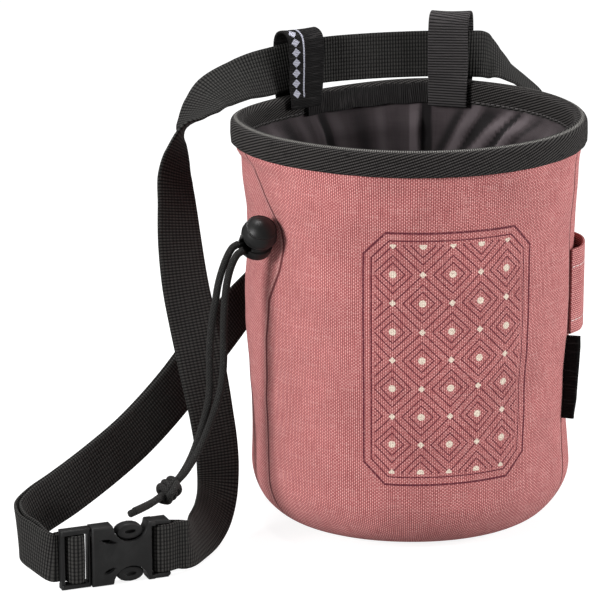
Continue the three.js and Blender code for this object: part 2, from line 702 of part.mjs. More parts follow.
// Sprung arm of the plug: shares of its reach and of the buckle's height
const armRows = [
  { along: 0, height: 0.58 },
  { along: 0.53, height: 0.555 },
  { along: 0.81, height: 0.612 },
  { along: 1, height: 0.669 },
  { along: 1, height: 0.776 },
  { along: 0.74, height: 0.743 },
  { along: 0.53, height: 0.661 },
  { along: 0, height: 0.71 },
];

const socketStart = plugFrameLength + socketGap;
const socketBlockEnd = socketBar - wrapRadius - webbingThickness / 2 - 1.3;
const mouthHalf = 2;

function makeSocket() {
  const corner = 1;
  const railEnd = buckleLength + 1.6;
  const outline = [
    [socketStart, 0],
    [railEnd - corner, 0],
    [railEnd, corner],
    [railEnd, buckleHeight - corner],
    [railEnd - corner, buckleHeight],
    [socketStart, buckleHeight],
  ];
  const cuts = [
    oval(windowCentre, buckleHeight, windowHalfLength, windowDepth, 20),
    oval(windowCentre, 0, windowHalfLength, windowDepth, 20),
    leaf(socketStart + 6.65, buckleHeight * 0.751, 7, 1.9, -1.7),
    leaf(socketStart + 7.05, buckleHeight * 0.249, 5.6, 1.9, 2),
    rectangle(socketBlockEnd, railEnd - 0.9, railHeight, buckleHeight - railHeight),
  ];
  const slotBottom = railHeight - 1;
  const body = cuts.reduce((left, cut) => left.subtract(cutter(cut)), plate(outline, buckleDepth, 0.7));
  const thinning = (side) => {
    const from = side > 0 ? barThickness / 2 + 1.1 : -buckleDepth;
    const to = side > 0 ? buckleDepth : -barThickness / 2 - 1.1;
    return block(socketBlockEnd + 1.6, railEnd + 1, from, to, -1, buckleHeight + 1);
  };
  const bar = roundBar(socketBar, slotBottom, buckleHeight - slotBottom);
  const openEnd = block(
    socketBar + barThickness / 2, railEnd + 1, -buckleDepth, buckleDepth,
    railHeight, buckleHeight - railHeight,
  );
  const mouth = block(
    socketStart - 1, socketBlockEnd - 3, -mouthHalf, mouthHalf, 3.6, buckleHeight - 3.6,
  );
  return body.subtract(thinning(1)).subtract(thinning(-1)).subtract(openEnd).subtract(mouth).add(bar);
}

function makePlug() {
  const outline = rectangle(0, plugFrameLength, 0, buckleHeight);
  const slotTop = buckleHeight - railHeight;
  const outerBar = adjusterBar - barThickness / 2 - slotLength;
  const slots = rectangle(outerBar, plugFrameLength - 0.8, railHeight, slotTop);
  const frame = plate(outline, barThickness + 2, 0.5)
    .subtract(cutter(slots))
    .subtract(block(-1, plugFrameLength - 0.8, barThickness / 2, buckleDepth, railHeight, slotTop))
    .subtract(block(-1, plugFrameLength - 0.8, -buckleDepth, -barThickness / 2, railHeight, slotTop))
    .add(roundBar(adjusterBar, 1, buckleHeight - 1));
  const armHalf = mouthHalf - socketGap;
  const armStart = plugFrameLength - 0.4;
  const armReach = windowCentre - 0.9 - armStart;
  const arm = armRows.map((row) => [armStart + row.along * armReach, row.height * buckleHeight]);
  const middle = buckleHeight / 2;
  const tongue = rectangle(plugFrameLength - 0.4, windowCentre + 4, middle - 1.6, middle + 1.6);
  const padTop = buckleHeight - padLift;
  const pad = oval(windowCentre, padTop, padHalfLength, padHalfHeight, 16);
  const padHole = oval(windowCentre, padTop, padHalfLength * 0.46, padHalfHeight * 0.26, 8);
  let plug = frame.add(plate(tongue, armHalf * 2, 0));
  [(points) => points, mirrored].forEach((place) => {
    plug = plug.add(plate(place(arm), armHalf * 2, 0)).add(plate(place(pad), armHalf * 2 + 1.6, 0.4));
    plug = plug.subtract(cutter(place(padHole)));
  });
  return plug;
}

// Drawcord lock: a barrel with a neck, and a dome button whose skirt slides over the neck
const lockSeat = lockLevel * bagHeight;
const lockCentre = around(
  lockAngle,
  shellOuter(lockAngle, lockSeat) + lockBaseRadius + fitGap + 0.8,
  lockSeat,
);
const lockMatrix = new THREE.Matrix4().makeBasis(
  lockExit.clone().addScaledVector(lockAxis, -lockExit.dot(lockAxis)).normalize(),
  new THREE.Vector3().crossVectors(lockAxis, lockExit).normalize(),
  lockAxis,
).setPosition(lockCentre);
const turned = (profile, segments) => {
  const points = profile.map(([r, z]) => new THREE.Vector2(r, z));
  return solid(new THREE.LatheGeometry(points, segments).rotateX(Math.PI / 2));
};
const boreLow = -2.2;
const boreHigh = boreLow + cordDiameter + 0.8;

function makeBarrel() {
  const bottom = -lockBaseHeight;
  const inner = lockNeckRadius - lockWall;
  const body = turned([
    [0, bottom],
    [lockBaseRadius - 1.4, bottom],
    [lockBaseRadius, bottom + 1.4],
    [lockBaseRadius, 0],
    [lockNeckRadius, 0.01],
    [lockNeckRadius, lockNeckHeight],
    [inner, lockNeckHeight],
    [inner, bottom + lockWall],
    [0, bottom + lockWall],
  ], 18);
  return body.subtract(block(-20, 20, -lockSlotWidth / 2, lockSlotWidth / 2, boreLow, boreHigh));
}

function makeButton() {
  const skirtInner = lockNeckRadius + lockSkirtGap;
  const skirt = lockTravel + 0.25;
  const ceiling = lockNeckHeight + lockTravel + 0.4;
  const dome = [30, 55, 75].map((turn) => [
    Math.cos(rad(turn)) * lockDomeRadius,
    skirt + 1.6 + Math.sin(rad(turn)) * lockDomeRadius * 0.93,
  ]);
  const stemFoot = -lockBaseHeight + lockWall + lockTravel + 0.4;
  const body = turned([
    [0, stemFoot],
    [lockStemRadius, stemFoot],
    [lockStemRadius, ceiling],
    [skirtInner, ceiling],
    [skirtInner, skirt],
    [lockDomeRadius - 0.3, skirt],
    [lockDomeRadius, skirt + 0.5],
    [lockDomeRadius, skirt + 1.8],
    ...dome,
    [0, skirt + 1.6 + lockDomeRadius * 0.93],
  ], 18);
  const slot = block(-20, 20, -lockSlotWidth / 2, lockSlotWidth / 2, stemFoot + 0.9, boreHigh + lockTravel);
  return body.subtract(slot);
}

// Cords: chosen points from the lock down to the knot, and the two short ends past it
const cordPoints = [
  [-69.2, -44.2, 125.5],
  [-71.4, -45.7, 124.5],
  [-73.4, -47, 121.4],
  [-75.2, -48, 116.6],
  [-76.6, -48.8, 110.9],
  [-77.5, -49.3, 104.4],
  [-78.3, -49.5, 97.4],
  [-78.8, -49.4, 90],
  [-79, -49, 82.4],
  [-79.2, -48.6, 75],
  [-79.7, -48.4, 68],
  [-80.9, -48.6, 61.4],
  [-82.8, -49.4, 55],
  [-85, -51.2, 48.8],
  [-87.5, -54, 43],
  [-90.3, -57.6, 38.4],
  [-93.2, -61.6, 35],
  [-95.2, -63.7, 33.45],
];
const cordApart = [
  [0.97, -1.07, -1.1],
  [1, -1.08, -1.1],
  [1.08, -1.08, -1.03],
  [1.3, -0.97, -0.76],
  [1.62, -0.65, -0.43],
  [1.89, -0.22, 0],
  [2.27, 0, 0.11],
  [2.59, 0.22, 0.11],
  [2.81, 0.32, 0],
  [2.7, 0.22, 0],
  [2.27, 0, 0],
  [1.84, -0.43, 0.22],
  [1.51, -0.97, 0.32],
  [1.3, -1.19, 0.43],
  [1.08, -1.3, 0.76],
  [0.97, -1.08, 1.08],
  [0.97, -0.97, 1.2],
  [0.9, -0.9, 1.1],
];
const knotCentre = new THREE.Vector3(-98.2, -66.8, 30.8);
const knotTurn = new THREE.Vector3(-0.62, -0.68, -0.4).normalize();
const tailPoints = [
  [-101.05, -69.9, 29.2],
  [-104.6, -74, 27.9],
  [-107, -77, 27.5],
  [-109.6, -80.4, 27.3],
  [-112, -83.6, 27.2],
];
const tailApart = [0.88, -0.98, 0.93];

function cordTube(points, steps) {
  const curve = new THREE.CatmullRomCurve3(points, false, "centripetal");
  const sides = 8;
  const section = new THREE.Shape(
    Array.from({ length: sides }, (_, i) => {
      const angle = (2 * Math.PI * i) / sides;
      return new THREE.Vector2(Math.cos(angle), Math.sin(angle)).multiplyScalar(cordDiameter / 2);
    }),
  );
  return new THREE.ExtrudeGeometry(section, { steps, bevelEnabled: false, extrudePath: curve });
}

function strand(sign) {
  return cordPoints.map((p, i) => {
    const apart = new THREE.Vector3(...cordApart[i]);
    return new THREE.Vector3(...p).addScaledVector(apart, sign);
  });
}
function tailStrand(sign) {
  const apart = new THREE.Vector3(...tailApart);
  return tailPoints.map((p) => new THREE.Vector3(...p).addScaledVector(apart, sign));
}

// Overhand knot of the doubled cord: three thick turns on a core
function makeKnot() {
  const frame = new THREE.Matrix4().lookAt(new THREE.Vector3(), knotTurn, up).setPosition(knotCentre);
  const rows = [
    { along: -2.2, radius: 3, tube: 1.7, lean: 16 },
    { along: 0.4, radius: 3.4, tube: 1.8, lean: -22 },
    { along: 2.6, radius: 2.8, tube: 1.6, lean: 12 },
  ];
  let knot = turned([[0, -4.2], [3, -3.2], [3.9, 0], [3, 3.2], [0, 4.2]], 10);
  rows.forEach((row) => {
    const ring = new THREE.TorusGeometry(row.radius, row.tube, 6, 11);
    ring.rotateX(rad(row.lean)).translate(0, 0, row.along);
    knot = knot.add(solid(ring));
  });
  return geometryOf(knot).applyMatrix4(frame);
}

addPiece("shell", makeShell(), rose);
addPiece("base_panel", makeBasePanel(), rose);
addPiece("rim_binding", makeBinding(), blackTape);
addPiece("lining", makeLining(), cloth);
addPiece("lining_collar", makeLiningCollar(), cloth);
addPiece("inner_tape", makeInnerTape(), blackTape);
loopRows.forEach((row) => addPiece(row.name, makeLoop(row), blackTape));
addPiece("belt_webbing", makeBelt(), blackTape);
addPiece("buckle_socket", geometryOf(makeSocket()).applyMatrix4(buckleMatrix), plastic);
addPiece("buckle_plug", geometryOf(makePlug()).applyMatrix4(buckleMatrix), plastic);
addPiece("lock_barrel", geometryOf(makeBarrel()).applyMatrix4(lockMatrix), plastic);
addPiece("lock_button", geometryOf(makeButton()).applyMatrix4(lockMatrix), plastic);
addPiece("drawcord_left", cordTube(strand(-1), 24), blackTape);
addPiece("drawcord_right", cordTube(strand(1), 24), blackTape);
addPiece("cord_knot", makeKnot(), blackTape);
addPiece("cord_tail_left", cordTube(tailStrand(-1), 6), blackTape);
addPiece("cord_tail_right", cordTube(tailStrand(1), 6), blackTape);

const keepout = wallKeepout(bagHeight * 0.2, bagHeight * 0.75);
const brushLoop = solid(makeSleeve()).subtract(keepout);
const sideTab = solid(makeTab()).subtract(keepout);
addPiece("brush_loop", geometryOf(brushLoop), rose);
addPiece("side_tab", geometryOf(sideTab), blackTape);

export default bag;
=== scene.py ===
# %% [markdown]
# # A climbing chalk bag with a waist belt
#
# The bag is a round bucket of rose cloth with a dark taped rim, a soft dark lining, a drawcord
# with a push lock, two belt loops and a 20 mm belt that ends in a side release buckle.
# The solids of the real part are already packed. This script loads them as a fixed frame and
# dresses them, in metres, with cloth, tape, webbing and moulded plastic.

# %% Load the frame
import contextlib
import math

import bmesh
import bpy
from mathutils import Matrix, Vector, noise


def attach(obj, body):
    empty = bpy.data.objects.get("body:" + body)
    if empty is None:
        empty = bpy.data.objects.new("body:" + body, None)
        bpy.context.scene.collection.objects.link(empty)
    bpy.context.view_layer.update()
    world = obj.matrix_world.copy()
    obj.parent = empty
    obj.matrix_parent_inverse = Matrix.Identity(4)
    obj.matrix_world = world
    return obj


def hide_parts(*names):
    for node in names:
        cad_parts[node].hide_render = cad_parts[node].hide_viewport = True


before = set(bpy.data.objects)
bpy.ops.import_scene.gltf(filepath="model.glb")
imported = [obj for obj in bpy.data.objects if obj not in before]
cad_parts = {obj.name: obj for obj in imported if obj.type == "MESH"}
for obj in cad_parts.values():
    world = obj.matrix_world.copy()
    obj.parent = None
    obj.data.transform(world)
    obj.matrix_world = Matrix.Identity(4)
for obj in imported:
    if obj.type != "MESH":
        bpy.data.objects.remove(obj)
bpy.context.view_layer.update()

MM = 0.001
WELD = 1e-7

# %% [markdown]
# ## Camera
#
# The picture was taken from a little above the rim, from far away, so upright lines stay almost
# parallel. A long lens on a camera 1.3 m in front of the bag gives the same view.

# %% Place the camera
def make_object(name, data):
    piece = bpy.data.objects.new(name, data)
    bpy.context.collection.objects.link(piece)
    return piece


LONG_LENS = 194.82
CAMERA_PLACE = (-0.0455, -1.3, 0.459)
CAMERA_TILT = 15.8
camera_data = bpy.data.cameras.new("camera")
camera_data.lens = LONG_LENS
camera_data.sensor_width = 36
camera_data.clip_end = 20
camera = make_object("camera", camera_data)
camera.location = CAMERA_PLACE
camera.rotation_euler = (math.radians(90 - CAMERA_TILT), 0, 0)
bpy.context.scene.camera = camera
bpy.context.scene.view_settings.view_transform = "Standard"
print("camera lens", camera_data.lens)

# %% [markdown]
# ## Light and floor
#
# A catalogue picture is lit by large soft lamps. The brightest stripe down the bag lies on the
# left of its front, the middle right is darker, and the right edge is bright again. So the main
# lamp stands at the front left, and weaker ones at the right and above. A weak white surrounding
# fills the rest. The floor shines by itself, brightly only where the camera sees it, so that it
# looks white but throws little light up at the bag.

# %% Make the studio
world = bpy.data.worlds.new("studio")
world.use_nodes = True
world.node_tree.nodes["Background"].inputs["Color"].default_value = (1, 1, 1, 1)
world.node_tree.nodes["Background"].inputs["Strength"].default_value = 0.24
bpy.context.scene.world = world


def soft_lamp(name, place, target, size, power):
    data = bpy.data.lights.new(name, "AREA")
    data.shape = "SQUARE"
    data.size = size
    data.energy = power
    lamp = make_object(name, data)
    lamp.location = place
    lamp.rotation_euler = (Vector(target) - Vector(place)).to_track_quat("-Z", "Y").to_euler()


LAMP_SIZE = 0.4
LAMP_ROWS = [
    # name, place, height of the point that it faces, power
    ("lamp_front_left", (-1.12, -0.9, 0.55), 0.09, 21.5),
    ("lamp_right", (1.2, -0.2, 0.4), 0.1, 14.0),
    ("lamp_top", (-0.1, 0.2, 1.2), 0.1, 10.0),
]
for lamp_name, lamp_place, faced_height, lamp_power in LAMP_ROWS:
    soft_lamp(lamp_name, lamp_place, (0, 0, faced_height), LAMP_SIZE, lamp_power)

floor_mesh = bpy.data.meshes.new("floor")
floor_bm = bmesh.new()
bmesh.ops.create_grid(floor_bm, x_segments=1, y_segments=1, size=6)
floor_bm.to_mesh(floor_mesh)
floor_bm.free()
floor_mesh.transform(Matrix.Translation((0, 0, -0.0004)))
floor = make_object("floor", floor_mesh)
floor_finish = bpy.data.materials.new("floor_paper")
floor_finish.use_nodes = True
floor_shader = floor_finish.node_tree.nodes["Principled BSDF"]
floor_shader.inputs["Base Color"].default_value = (0.3, 0.3, 0.3, 1)
floor_shader.inputs["Roughness"].default_value = 0.9
floor_shader.inputs["Emission Color"].default_value = (1, 1, 1, 1)
floor_seen = floor_finish.node_tree.nodes.new("ShaderNodeLightPath")
floor_glow = floor_finish.node_tree.nodes.new("ShaderNodeMapRange")
floor_glow.inputs["To Min"].default_value = 0.12
floor_glow.inputs["To Max"].default_value = 0.86
floor_finish.node_tree.links.new(floor_seen.outputs["Is Camera Ray"], floor_glow.inputs["Value"])
floor_finish.node_tree.links.new(floor_glow.outputs[0], floor_shader.inputs["Emission Strength"])
floor_mesh.materials.append(floor_finish)
print("lamps and floor ready")

# %% [markdown]
# ## Lines that cloth and cord follow
#
# Cords, the belt and the loops all follow a smooth line through a few chosen points. The line
# used here is a centripetal one: it passes through every point and makes no loops of its own
# where points lie close together.


# %% Smooth line through points
def smooth_line(points, steps):
    """Points on a smooth curve, with the given number of steps between two points."""
    pts = [Vector(p) for p in points]
    ends = [pts[0] * 2 - pts[1]] + pts + [pts[-1] * 2 - pts[-2]]
    line = []
    for i in range(len(pts) - 1):
        p0, p1, p2, p3 = ends[i:i + 4]
        d0 = max((p1 - p0).length ** 0.5, 1e-5)
        d1 = max((p2 - p1).length ** 0.5, 1e-5)
        d2 = max((p3 - p2).length ** 0.5, 1e-5)
        m1 = ((p1 - p0) / d0 - (p2 - p0) / (d0 + d1) + (p2 - p1) / d1) * d1
        m2 = ((p2 - p1) / d1 - (p3 - p1) / (d1 + d2) + (p3 - p2) / d2) * d1
        last = steps + 1 if i == len(pts) - 2 else steps
        for k in range(last):
            t = k / steps
            a = p1 + m1 * t
            b = (p1 * -3 + p2 * 3 - m1 * 2 - m2) * t * t
            c = (p1 * 2 - p2 * 2 + m1 + m2) * t ** 3
            line.append(a + b + c)
    return line


def line_length(line):
    return sum((b - a).length for a, b in zip(line, line[1:]))


def tangents_of(line):
    last = len(line) - 1
    return [(line[min(i + 1, last)] - line[max(i - 1, 0)]).normalized() for i in range(len(line))]


# %% [markdown]
# ## A patch of cloth that is rolled into shape
#
# Nearly every soft piece here starts as a flat grid, as real cloth does. The grid gets its UV map
# while it is flat, in metres, so a weave keeps its true scale, and then each corner of the grid
# moves to its place. A tube, a folded tape and the bag's wall are grids whose two long sides are
# sewn together, which is what merging the doubles does.


# %% Roll a patch
@contextlib.contextmanager
def editing(mesh, source=None):
    """A bmesh of the source mesh, or an empty one, that is written to the mesh at the end."""
    bm = bmesh.new()
    if source:
        bm.from_mesh(source)
    yield bm
    bm.to_mesh(mesh)
    bm.free()


def rolled_patch(name, around, along, size, place, ends=True):
    """Grid of around x along cells. place(s, t) gives the point for the shares s and t."""
    bm = bmesh.new()
    uv = bm.loops.layers.uv.new("cloth")
    bmesh.ops.create_grid(bm, x_segments=around, y_segments=along, size=0.5, calc_uvs=True)
    for face in bm.faces:
        for loop in face.loops:
            s, t = loop.vert.co.x + 0.5, loop.vert.co.y + 0.5
            loop[uv].uv = (s * size[0], t * size[1])
    for vert in bm.verts:
        vert.co = place(vert.co.x + 0.5, vert.co.y + 0.5)
    rim = [v for v in bm.verts if v.is_boundary]
    bmesh.ops.remove_doubles(bm, verts=rim, dist=WELD)
    if ends:
        open_edges = [e for e in bm.edges if e.is_boundary]
        bmesh.ops.holes_fill(bm, edges=open_edges, sides=0)
    bmesh.ops.recalc_face_normals(bm, faces=bm.faces)
    mesh = bpy.data.meshes.new(name)
    bm.to_mesh(mesh)
    bm.free()
    mesh.shade_smooth()
    return make_object(name, mesh)


def swept_patch(name, line, frames, section):
    """Section swept along a line. frames holds the two cross directions at every point."""
    girth = sum((Vector(b) - Vector(a)).length for a, b in zip(section, section[1:] + section[:1]))
    last = len(line) - 1

    def place(s, t):
        i = min(last, round(t * last))
        a, b = frames[i]
        x, y = section[round(s * len(section)) % len(section)]
        return line[i] + a * x + b * y

    return rolled_patch(name, len(section), last, (girth, line_length(line)), place)


def carried_frames(line):
    """Cross directions that turn with the line without twisting round it."""
    tangents = tangents_of(line)
    start = tangents[0].orthogonal().normalized()
    frames = []
    for tangent in tangents:
        start = (start - tangent * start.dot(tangent)).normalized()
        frames.append((start.copy(), tangent.cross(start)))
    return frames


def round_section(radius, sides):
    return [(math.cos(2 * math.pi * k / sides) * radius, math.sin(2 * math.pi * k / sides) * radius)
            for k in range(sides)]


def cord_tube(name, line, radius, sides=16):
    return swept_patch(name, line, carried_frames(line), round_section(radius, sides))


# %% [markdown]
# ## Node helpers for cloth finishes
#
# The finishes are made from small sums on the UV map. Short functions such as plus and times, which
# add a Math node and wire its values, keep those sums readable. Each woven effect becomes a node
# group, built once, with its scale as an input, and each material places it with its own values.


# %% Helpers for node trees
def add_node(tree, kind, **settings):
    node = tree.nodes.new(kind)
    for key, value in settings.items():
        setattr(node, key, value)
    return node


def tree_of(*values):
    """The node tree that the first socket among the values belongs to."""
    return next(v for v in values if isinstance(v, bpy.types.NodeSocket)).id_data


def feed(socket, value):
    if isinstance(value, bpy.types.NodeSocket):
        tree_of(value).links.new(value, socket)
    elif value is not None:
        socket.default_value = value


def maths(operation):
    """A function that adds one Math node with this operation and wires its values."""
    def result_of(*values, clamp=False):
        node = add_node(tree_of(*values), "ShaderNodeMath", operation=operation, use_clamp=clamp)
        for socket, value in zip(node.inputs, values):
            feed(socket, value)
        return node.outputs[0]
    return result_of


plus, minus, times, over = map(maths, ("ADD", "SUBTRACT", "MULTIPLY", "DIVIDE"))
times_plus, power, larger, absolute = map(maths, ("MULTIPLY_ADD", "POWER", "MAXIMUM", "ABSOLUTE"))
sine, rounded_down, fraction, root = map(maths, ("SINE", "FLOOR", "FRACT", "SQRT"))
remainder, is_less = map(maths, ("MODULO", "LESS_THAN"))


def ramp(value, low, high, to_low=0.0, to_high=1.0):
    node = add_node(tree_of(value), "ShaderNodeMapRange", interpolation_type="SMOOTHSTEP")
    for name, item in (("Value", value), ("From Min", low), ("From Max", high),
                       ("To Min", to_low), ("To Max", to_high)):
        feed(node.inputs[name], item)
    return node.outputs[0]


def blend(factor, first, second, mode="MIX"):
    node = add_node(tree_of(factor, first), "ShaderNodeMix", data_type="RGBA", blend_type=mode)
    for slot, value in ((0, factor), (6, first), (7, second)):
        feed(node.inputs[slot], value)
    return node.outputs[2]


def choose(factor, first, second):
    node = add_node(tree_of(factor), "ShaderNodeMix", data_type="FLOAT")
    for slot, value in ((0, factor), (2, first), (3, second)):
        feed(node.inputs[slot], value)
    return node.outputs[0]


def cloud(vector, scale, detail=2.0):
    node = add_node(tree_of(vector), "ShaderNodeTexNoise")
    for name, value in (("Vector", vector), ("Scale", scale), ("Detail", detail), ("Roughness", 0.5)):
        feed(node.inputs[name], value)
    return node.outputs["Fac"]


def stretched(vector, x, y):
    node = add_node(tree_of(vector), "ShaderNodeMapping")
    feed(node.inputs["Vector"], vector)
    feed(node.inputs["Scale"], (x, y, 1.0))
    return node.outputs[0]


def new_group(name, inputs, outputs):
    """Group with a vector input where the default is None, and number inputs and outputs."""
    tree = bpy.data.node_groups.new(name, "ShaderNodeTree")
    for label, value in inputs.items():
        kind = "NodeSocketVector" if value is None else "NodeSocketFloat"
        socket = tree.interface.new_socket(label, in_out="INPUT", socket_type=kind)
        if value is not None:
            socket.default_value = value
    for label in outputs:
        tree.interface.new_socket(label, in_out="OUTPUT", socket_type="NodeSocketFloat")
    entry = tree.nodes.new("NodeGroupInput")
    leave = tree.nodes.new("NodeGroupOutput")
    return tree, entry.outputs, leave.inputs


def place_group(group, **values):
    node = add_node(tree_of(*values.values()), "ShaderNodeGroup", node_tree=group)
    for label, value in values.items():
        feed(node.inputs[label.replace("_", " ")], value)
    return node.outputs


def new_finish(name, roughness, sheen=0.0, specular=0.3):
    finish = bpy.data.materials.new(name)
    finish.use_nodes = True
    tree = finish.node_tree
    shader = tree.nodes["Principled BSDF"]
    shader.inputs["Roughness"].default_value = roughness
    shader.inputs["Specular IOR Level"].default_value = specular
    if sheen:
        shader.inputs["Sheen Weight"].default_value = sheen
        shader.inputs["Sheen Roughness"].default_value = 0.5
    return finish, tree, shader


def cloth_map(tree):
    return add_node(tree, "ShaderNodeUVMap", uv_map="cloth").outputs[0]


def stored(tree, name):
    return add_node(tree, "ShaderNodeAttribute", attribute_name=name).outputs["Fac"]


def split(vector):
    node = add_node(tree_of(vector), "ShaderNodeSeparateXYZ")
    feed(node.inputs[0], vector)
    return node.outputs


def raise_bump(shader, height, distance):
    bump = add_node(tree_of(height), "ShaderNodeBump")
    for name, value in (("Strength", 1.0), ("Distance", distance), ("Height", height)):
        feed(bump.inputs[name], value)
    feed(shader.inputs["Normal"], bump.outputs[0])


def dress(piece, body, slot, *nodes):
    """Let the piece ride on its body and stand for its solids. The slot is not used."""
    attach(piece, body)
    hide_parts(*nodes)


# %% [markdown]
# ### Plain weave
#
# In a plain weave every thread passes over one thread and under the next. Seen close, that is a
# chequerboard of small humps. The humps here are sine waves across each thread, shifted by half
# a step from one thread to the next. The group gives the height, which thread is on top, and how
# near a point is to the middle of its upright thread, because the gaps between those show most.

# %% Plain weave group
def thread_hump(place):
    """Height across threads that lie one apart, from 0 in the gaps to 1 on the threads."""
    return absolute(sine(times(place, math.pi)))


weave, w_in, w_out = new_group(
    "plain_weave",
    {"Vector": None, "Across": 0.00085, "Along": 0.00085},
    ["Height", "Upright thread", "Column"],
)
xyz = split(w_in["Vector"])
u = over(xyz[0], w_in["Across"])
v = over(xyz[1], w_in["Along"])
hump_u = thread_hump(u)
hump_v = thread_hump(v)
cell = plus(rounded_down(u), rounded_down(v))
upright = remainder(absolute(cell), 2.0)
upright = is_less(upright, 0.5)
warp = times(power(hump_u, 0.7), power(hump_v, 0.45))
weft = times(power(hump_v, 0.7), power(hump_u, 0.45))
feed(w_out["Height"], choose(upright, weft, warp))
feed(w_out["Upright thread"], upright)
feed(w_out["Column"], hump_u)

# %% [markdown]
# ### Ribs
#
# Twill tape and grosgrain both show parallel ribs. Only their direction and step differ, so one
# group makes both: the ribs run along a line at an angle, and their round tops come from a sine.

# %% Rib group
ribs, r_in, r_out = new_group(
    "cloth_ribs",
    {"Vector": None, "Step": 0.0009, "Slope": 0.4, "Thread": 0.0006},
    ["Height", "Groove"],
)
xyz = split(r_in["Vector"])
lean = times(xyz[0], r_in["Slope"])
rib = over(minus(xyz[1], lean), r_in["Step"])
rib_hump = thread_hump(rib)
odd = times(rounded_down(rib), 0.5)
thread = plus(over(xyz[0], r_in["Thread"]), odd)
softened = times_plus(thread_hump(thread), 0.4, 0.6)
height = times(power(rib_hump, 0.8), softened)
feed(r_out["Height"], height)
feed(r_out["Groove"], minus(1.0, rib_hump))

# %% [markdown]
# ### Webbing
#
# Belt webbing is woven so tightly that its threads stand in a square grid of small bumps. The
# grid's lines across the belt are deeper than the ones along it, so the belt looks ribbed, and
# the top of each bump catches the light as a dot.

# %% Webbing group
grid, g_in, g_out = new_group(
    "webbing_grid",
    {"Vector": None, "Across": 0.00195, "Along": 0.0014},
    ["Height", "Dot"],
)
xyz = split(g_in["Vector"])
row_hump = thread_hump(over(xyz[0], g_in["Across"]))
column_hump = thread_hump(over(xyz[1], g_in["Along"]))
grid_height = times_plus(row_hump, 0.35, times(column_hump, 0.65))
grid_dot = times(ramp(column_hump, 0.45, 0.95), ramp(row_hump, 0.2, 0.9, 0.25, 1.0))
feed(g_out["Height"], grid_height)
feed(g_out["Dot"], grid_dot)

# %% [markdown]
# ### Stitches
#
# A sewn line is a row of short threads with small gaps. The group takes the distance from the
# line and the way along it and gives a mask of the threads.

# %% Stitch group
stitches, s_in, s_out = new_group(
    "stitch_row",
    {"Distance": 0.0, "Run": 0.0, "Step": 0.0026, "Half width": 0.00028},
    ["Thread"],
)
share_of_step = fraction(over(s_in["Run"], s_in["Step"]))
from_centre = absolute(minus(share_of_step, 0.5))
dash = ramp(from_centre, 0.3, 0.38, 1.0, 0.0)
off_line = over(absolute(s_in["Distance"]), s_in["Half width"])
on_line = ramp(off_line, 0.6, 1.2, 1.0, 0.0)
feed(s_out["Thread"], times(dash, on_line))

# %% [markdown]
# ### Fibre colour
#
# Real yarn is never one colour. Long thin clouds along both thread directions give the streaks
# of a melange yarn, and a slow cloud gives the larger patches of wear and handling.

# %% Yarn streak group
yarn, y_in, y_out = new_group(
    "yarn_streaks",
    {"Vector": None, "Upright thread": 0.5},
    ["Streak", "Patch"],
)
streak_up = cloud(stretched(y_in["Vector"], 1200, 110), 1.0, 1.0)
streak_across = cloud(stretched(y_in["Vector"], 110, 1200), 1.0, 1.0)
feed(y_out["Streak"], choose(y_in["Upright thread"], streak_across, streak_up))
feed(y_out["Patch"], cloud(y_in["Vector"], 45.0, 3.0))
print("groups", [g.name for g in bpy.data.node_groups])

# %% [markdown]
# ## Drawcord
#
# Two strands of thin braided cord come out of the lock, hang down beside the bag and meet in an
# overhand knot in front of the belt, near the buckle, with two short ends past it. Each
# strand is one tube along the same points as its solid. Braid is two sets of threads that cross,
# so its finish is two slanted sets of ribs, of which the higher one shows.

# %% Cord route
CORD_MIDDLE = [
    (-69.2, -44.2, 125.5), (-71.4, -45.7, 124.5), (-73.4, -47, 121.4), (-75.2, -48, 116.6),
    (-76.6, -48.8, 110.9), (-77.5, -49.3, 104.4), (-78.3, -49.5, 97.4), (-78.8, -49.4, 90),
    (-79, -49, 82.4), (-79.2, -48.6, 75), (-79.7, -48.4, 68), (-80.9, -48.6, 61.4),
    (-82.8, -49.4, 55), (-85, -51.2, 48.8), (-87.5, -54, 43), (-90.3, -57.6, 38.4),
    (-93.2, -61.6, 35), (-95.2, -63.7, 33.45),
]
CORD_APART = [
    (0.97, -1.07, -1.1), (1, -1.08, -1.1), (1.08, -1.08, -1.03), (1.3, -0.97, -0.76),
    (1.62, -0.65, -0.43), (1.89, -0.22, 0), (2.27, 0, 0.11), (2.59, 0.22, 0.11),
    (2.81, 0.32, 0), (2.7, 0.22, 0), (2.27, 0, 0), (1.84, -0.43, 0.22),
    (1.51, -0.97, 0.32), (1.3, -1.19, 0.43), (1.08, -1.3, 0.76), (0.97, -1.08, 1.08),
    (0.97, -0.97, 1.2), (0.9, -0.9, 1.1),
]
KNOT_CENTRE = Vector((-98.2, -66.8, 30.8)) * MM
KNOT_TURN = Vector((-0.62, -0.68, -0.4)).normalized()
TAIL_MIDDLE = [
    (-101.05, -69.9, 29.2), (-104.6, -74, 27.9), (-107, -77, 27.5),
    (-109.6, -80.4, 27.3), (-112, -83.6, 27.2),
]
TAIL_APART = Vector((0.88, -0.98, 0.93))
CORD_DIAMETER = 3 * MM


def strand_points(sign):
    down = [Vector(p) + Vector(a) * sign for p, a in zip(CORD_MIDDLE, CORD_APART)]
    through = [Vector(KNOT_CENTRE / MM) + Vector((0.5, -0.5, 0.6)) * sign]
    tail = [Vector(p) + TAIL_APART * sign for p in TAIL_MIDDLE]
    return [p * MM for p in down + through + tail]


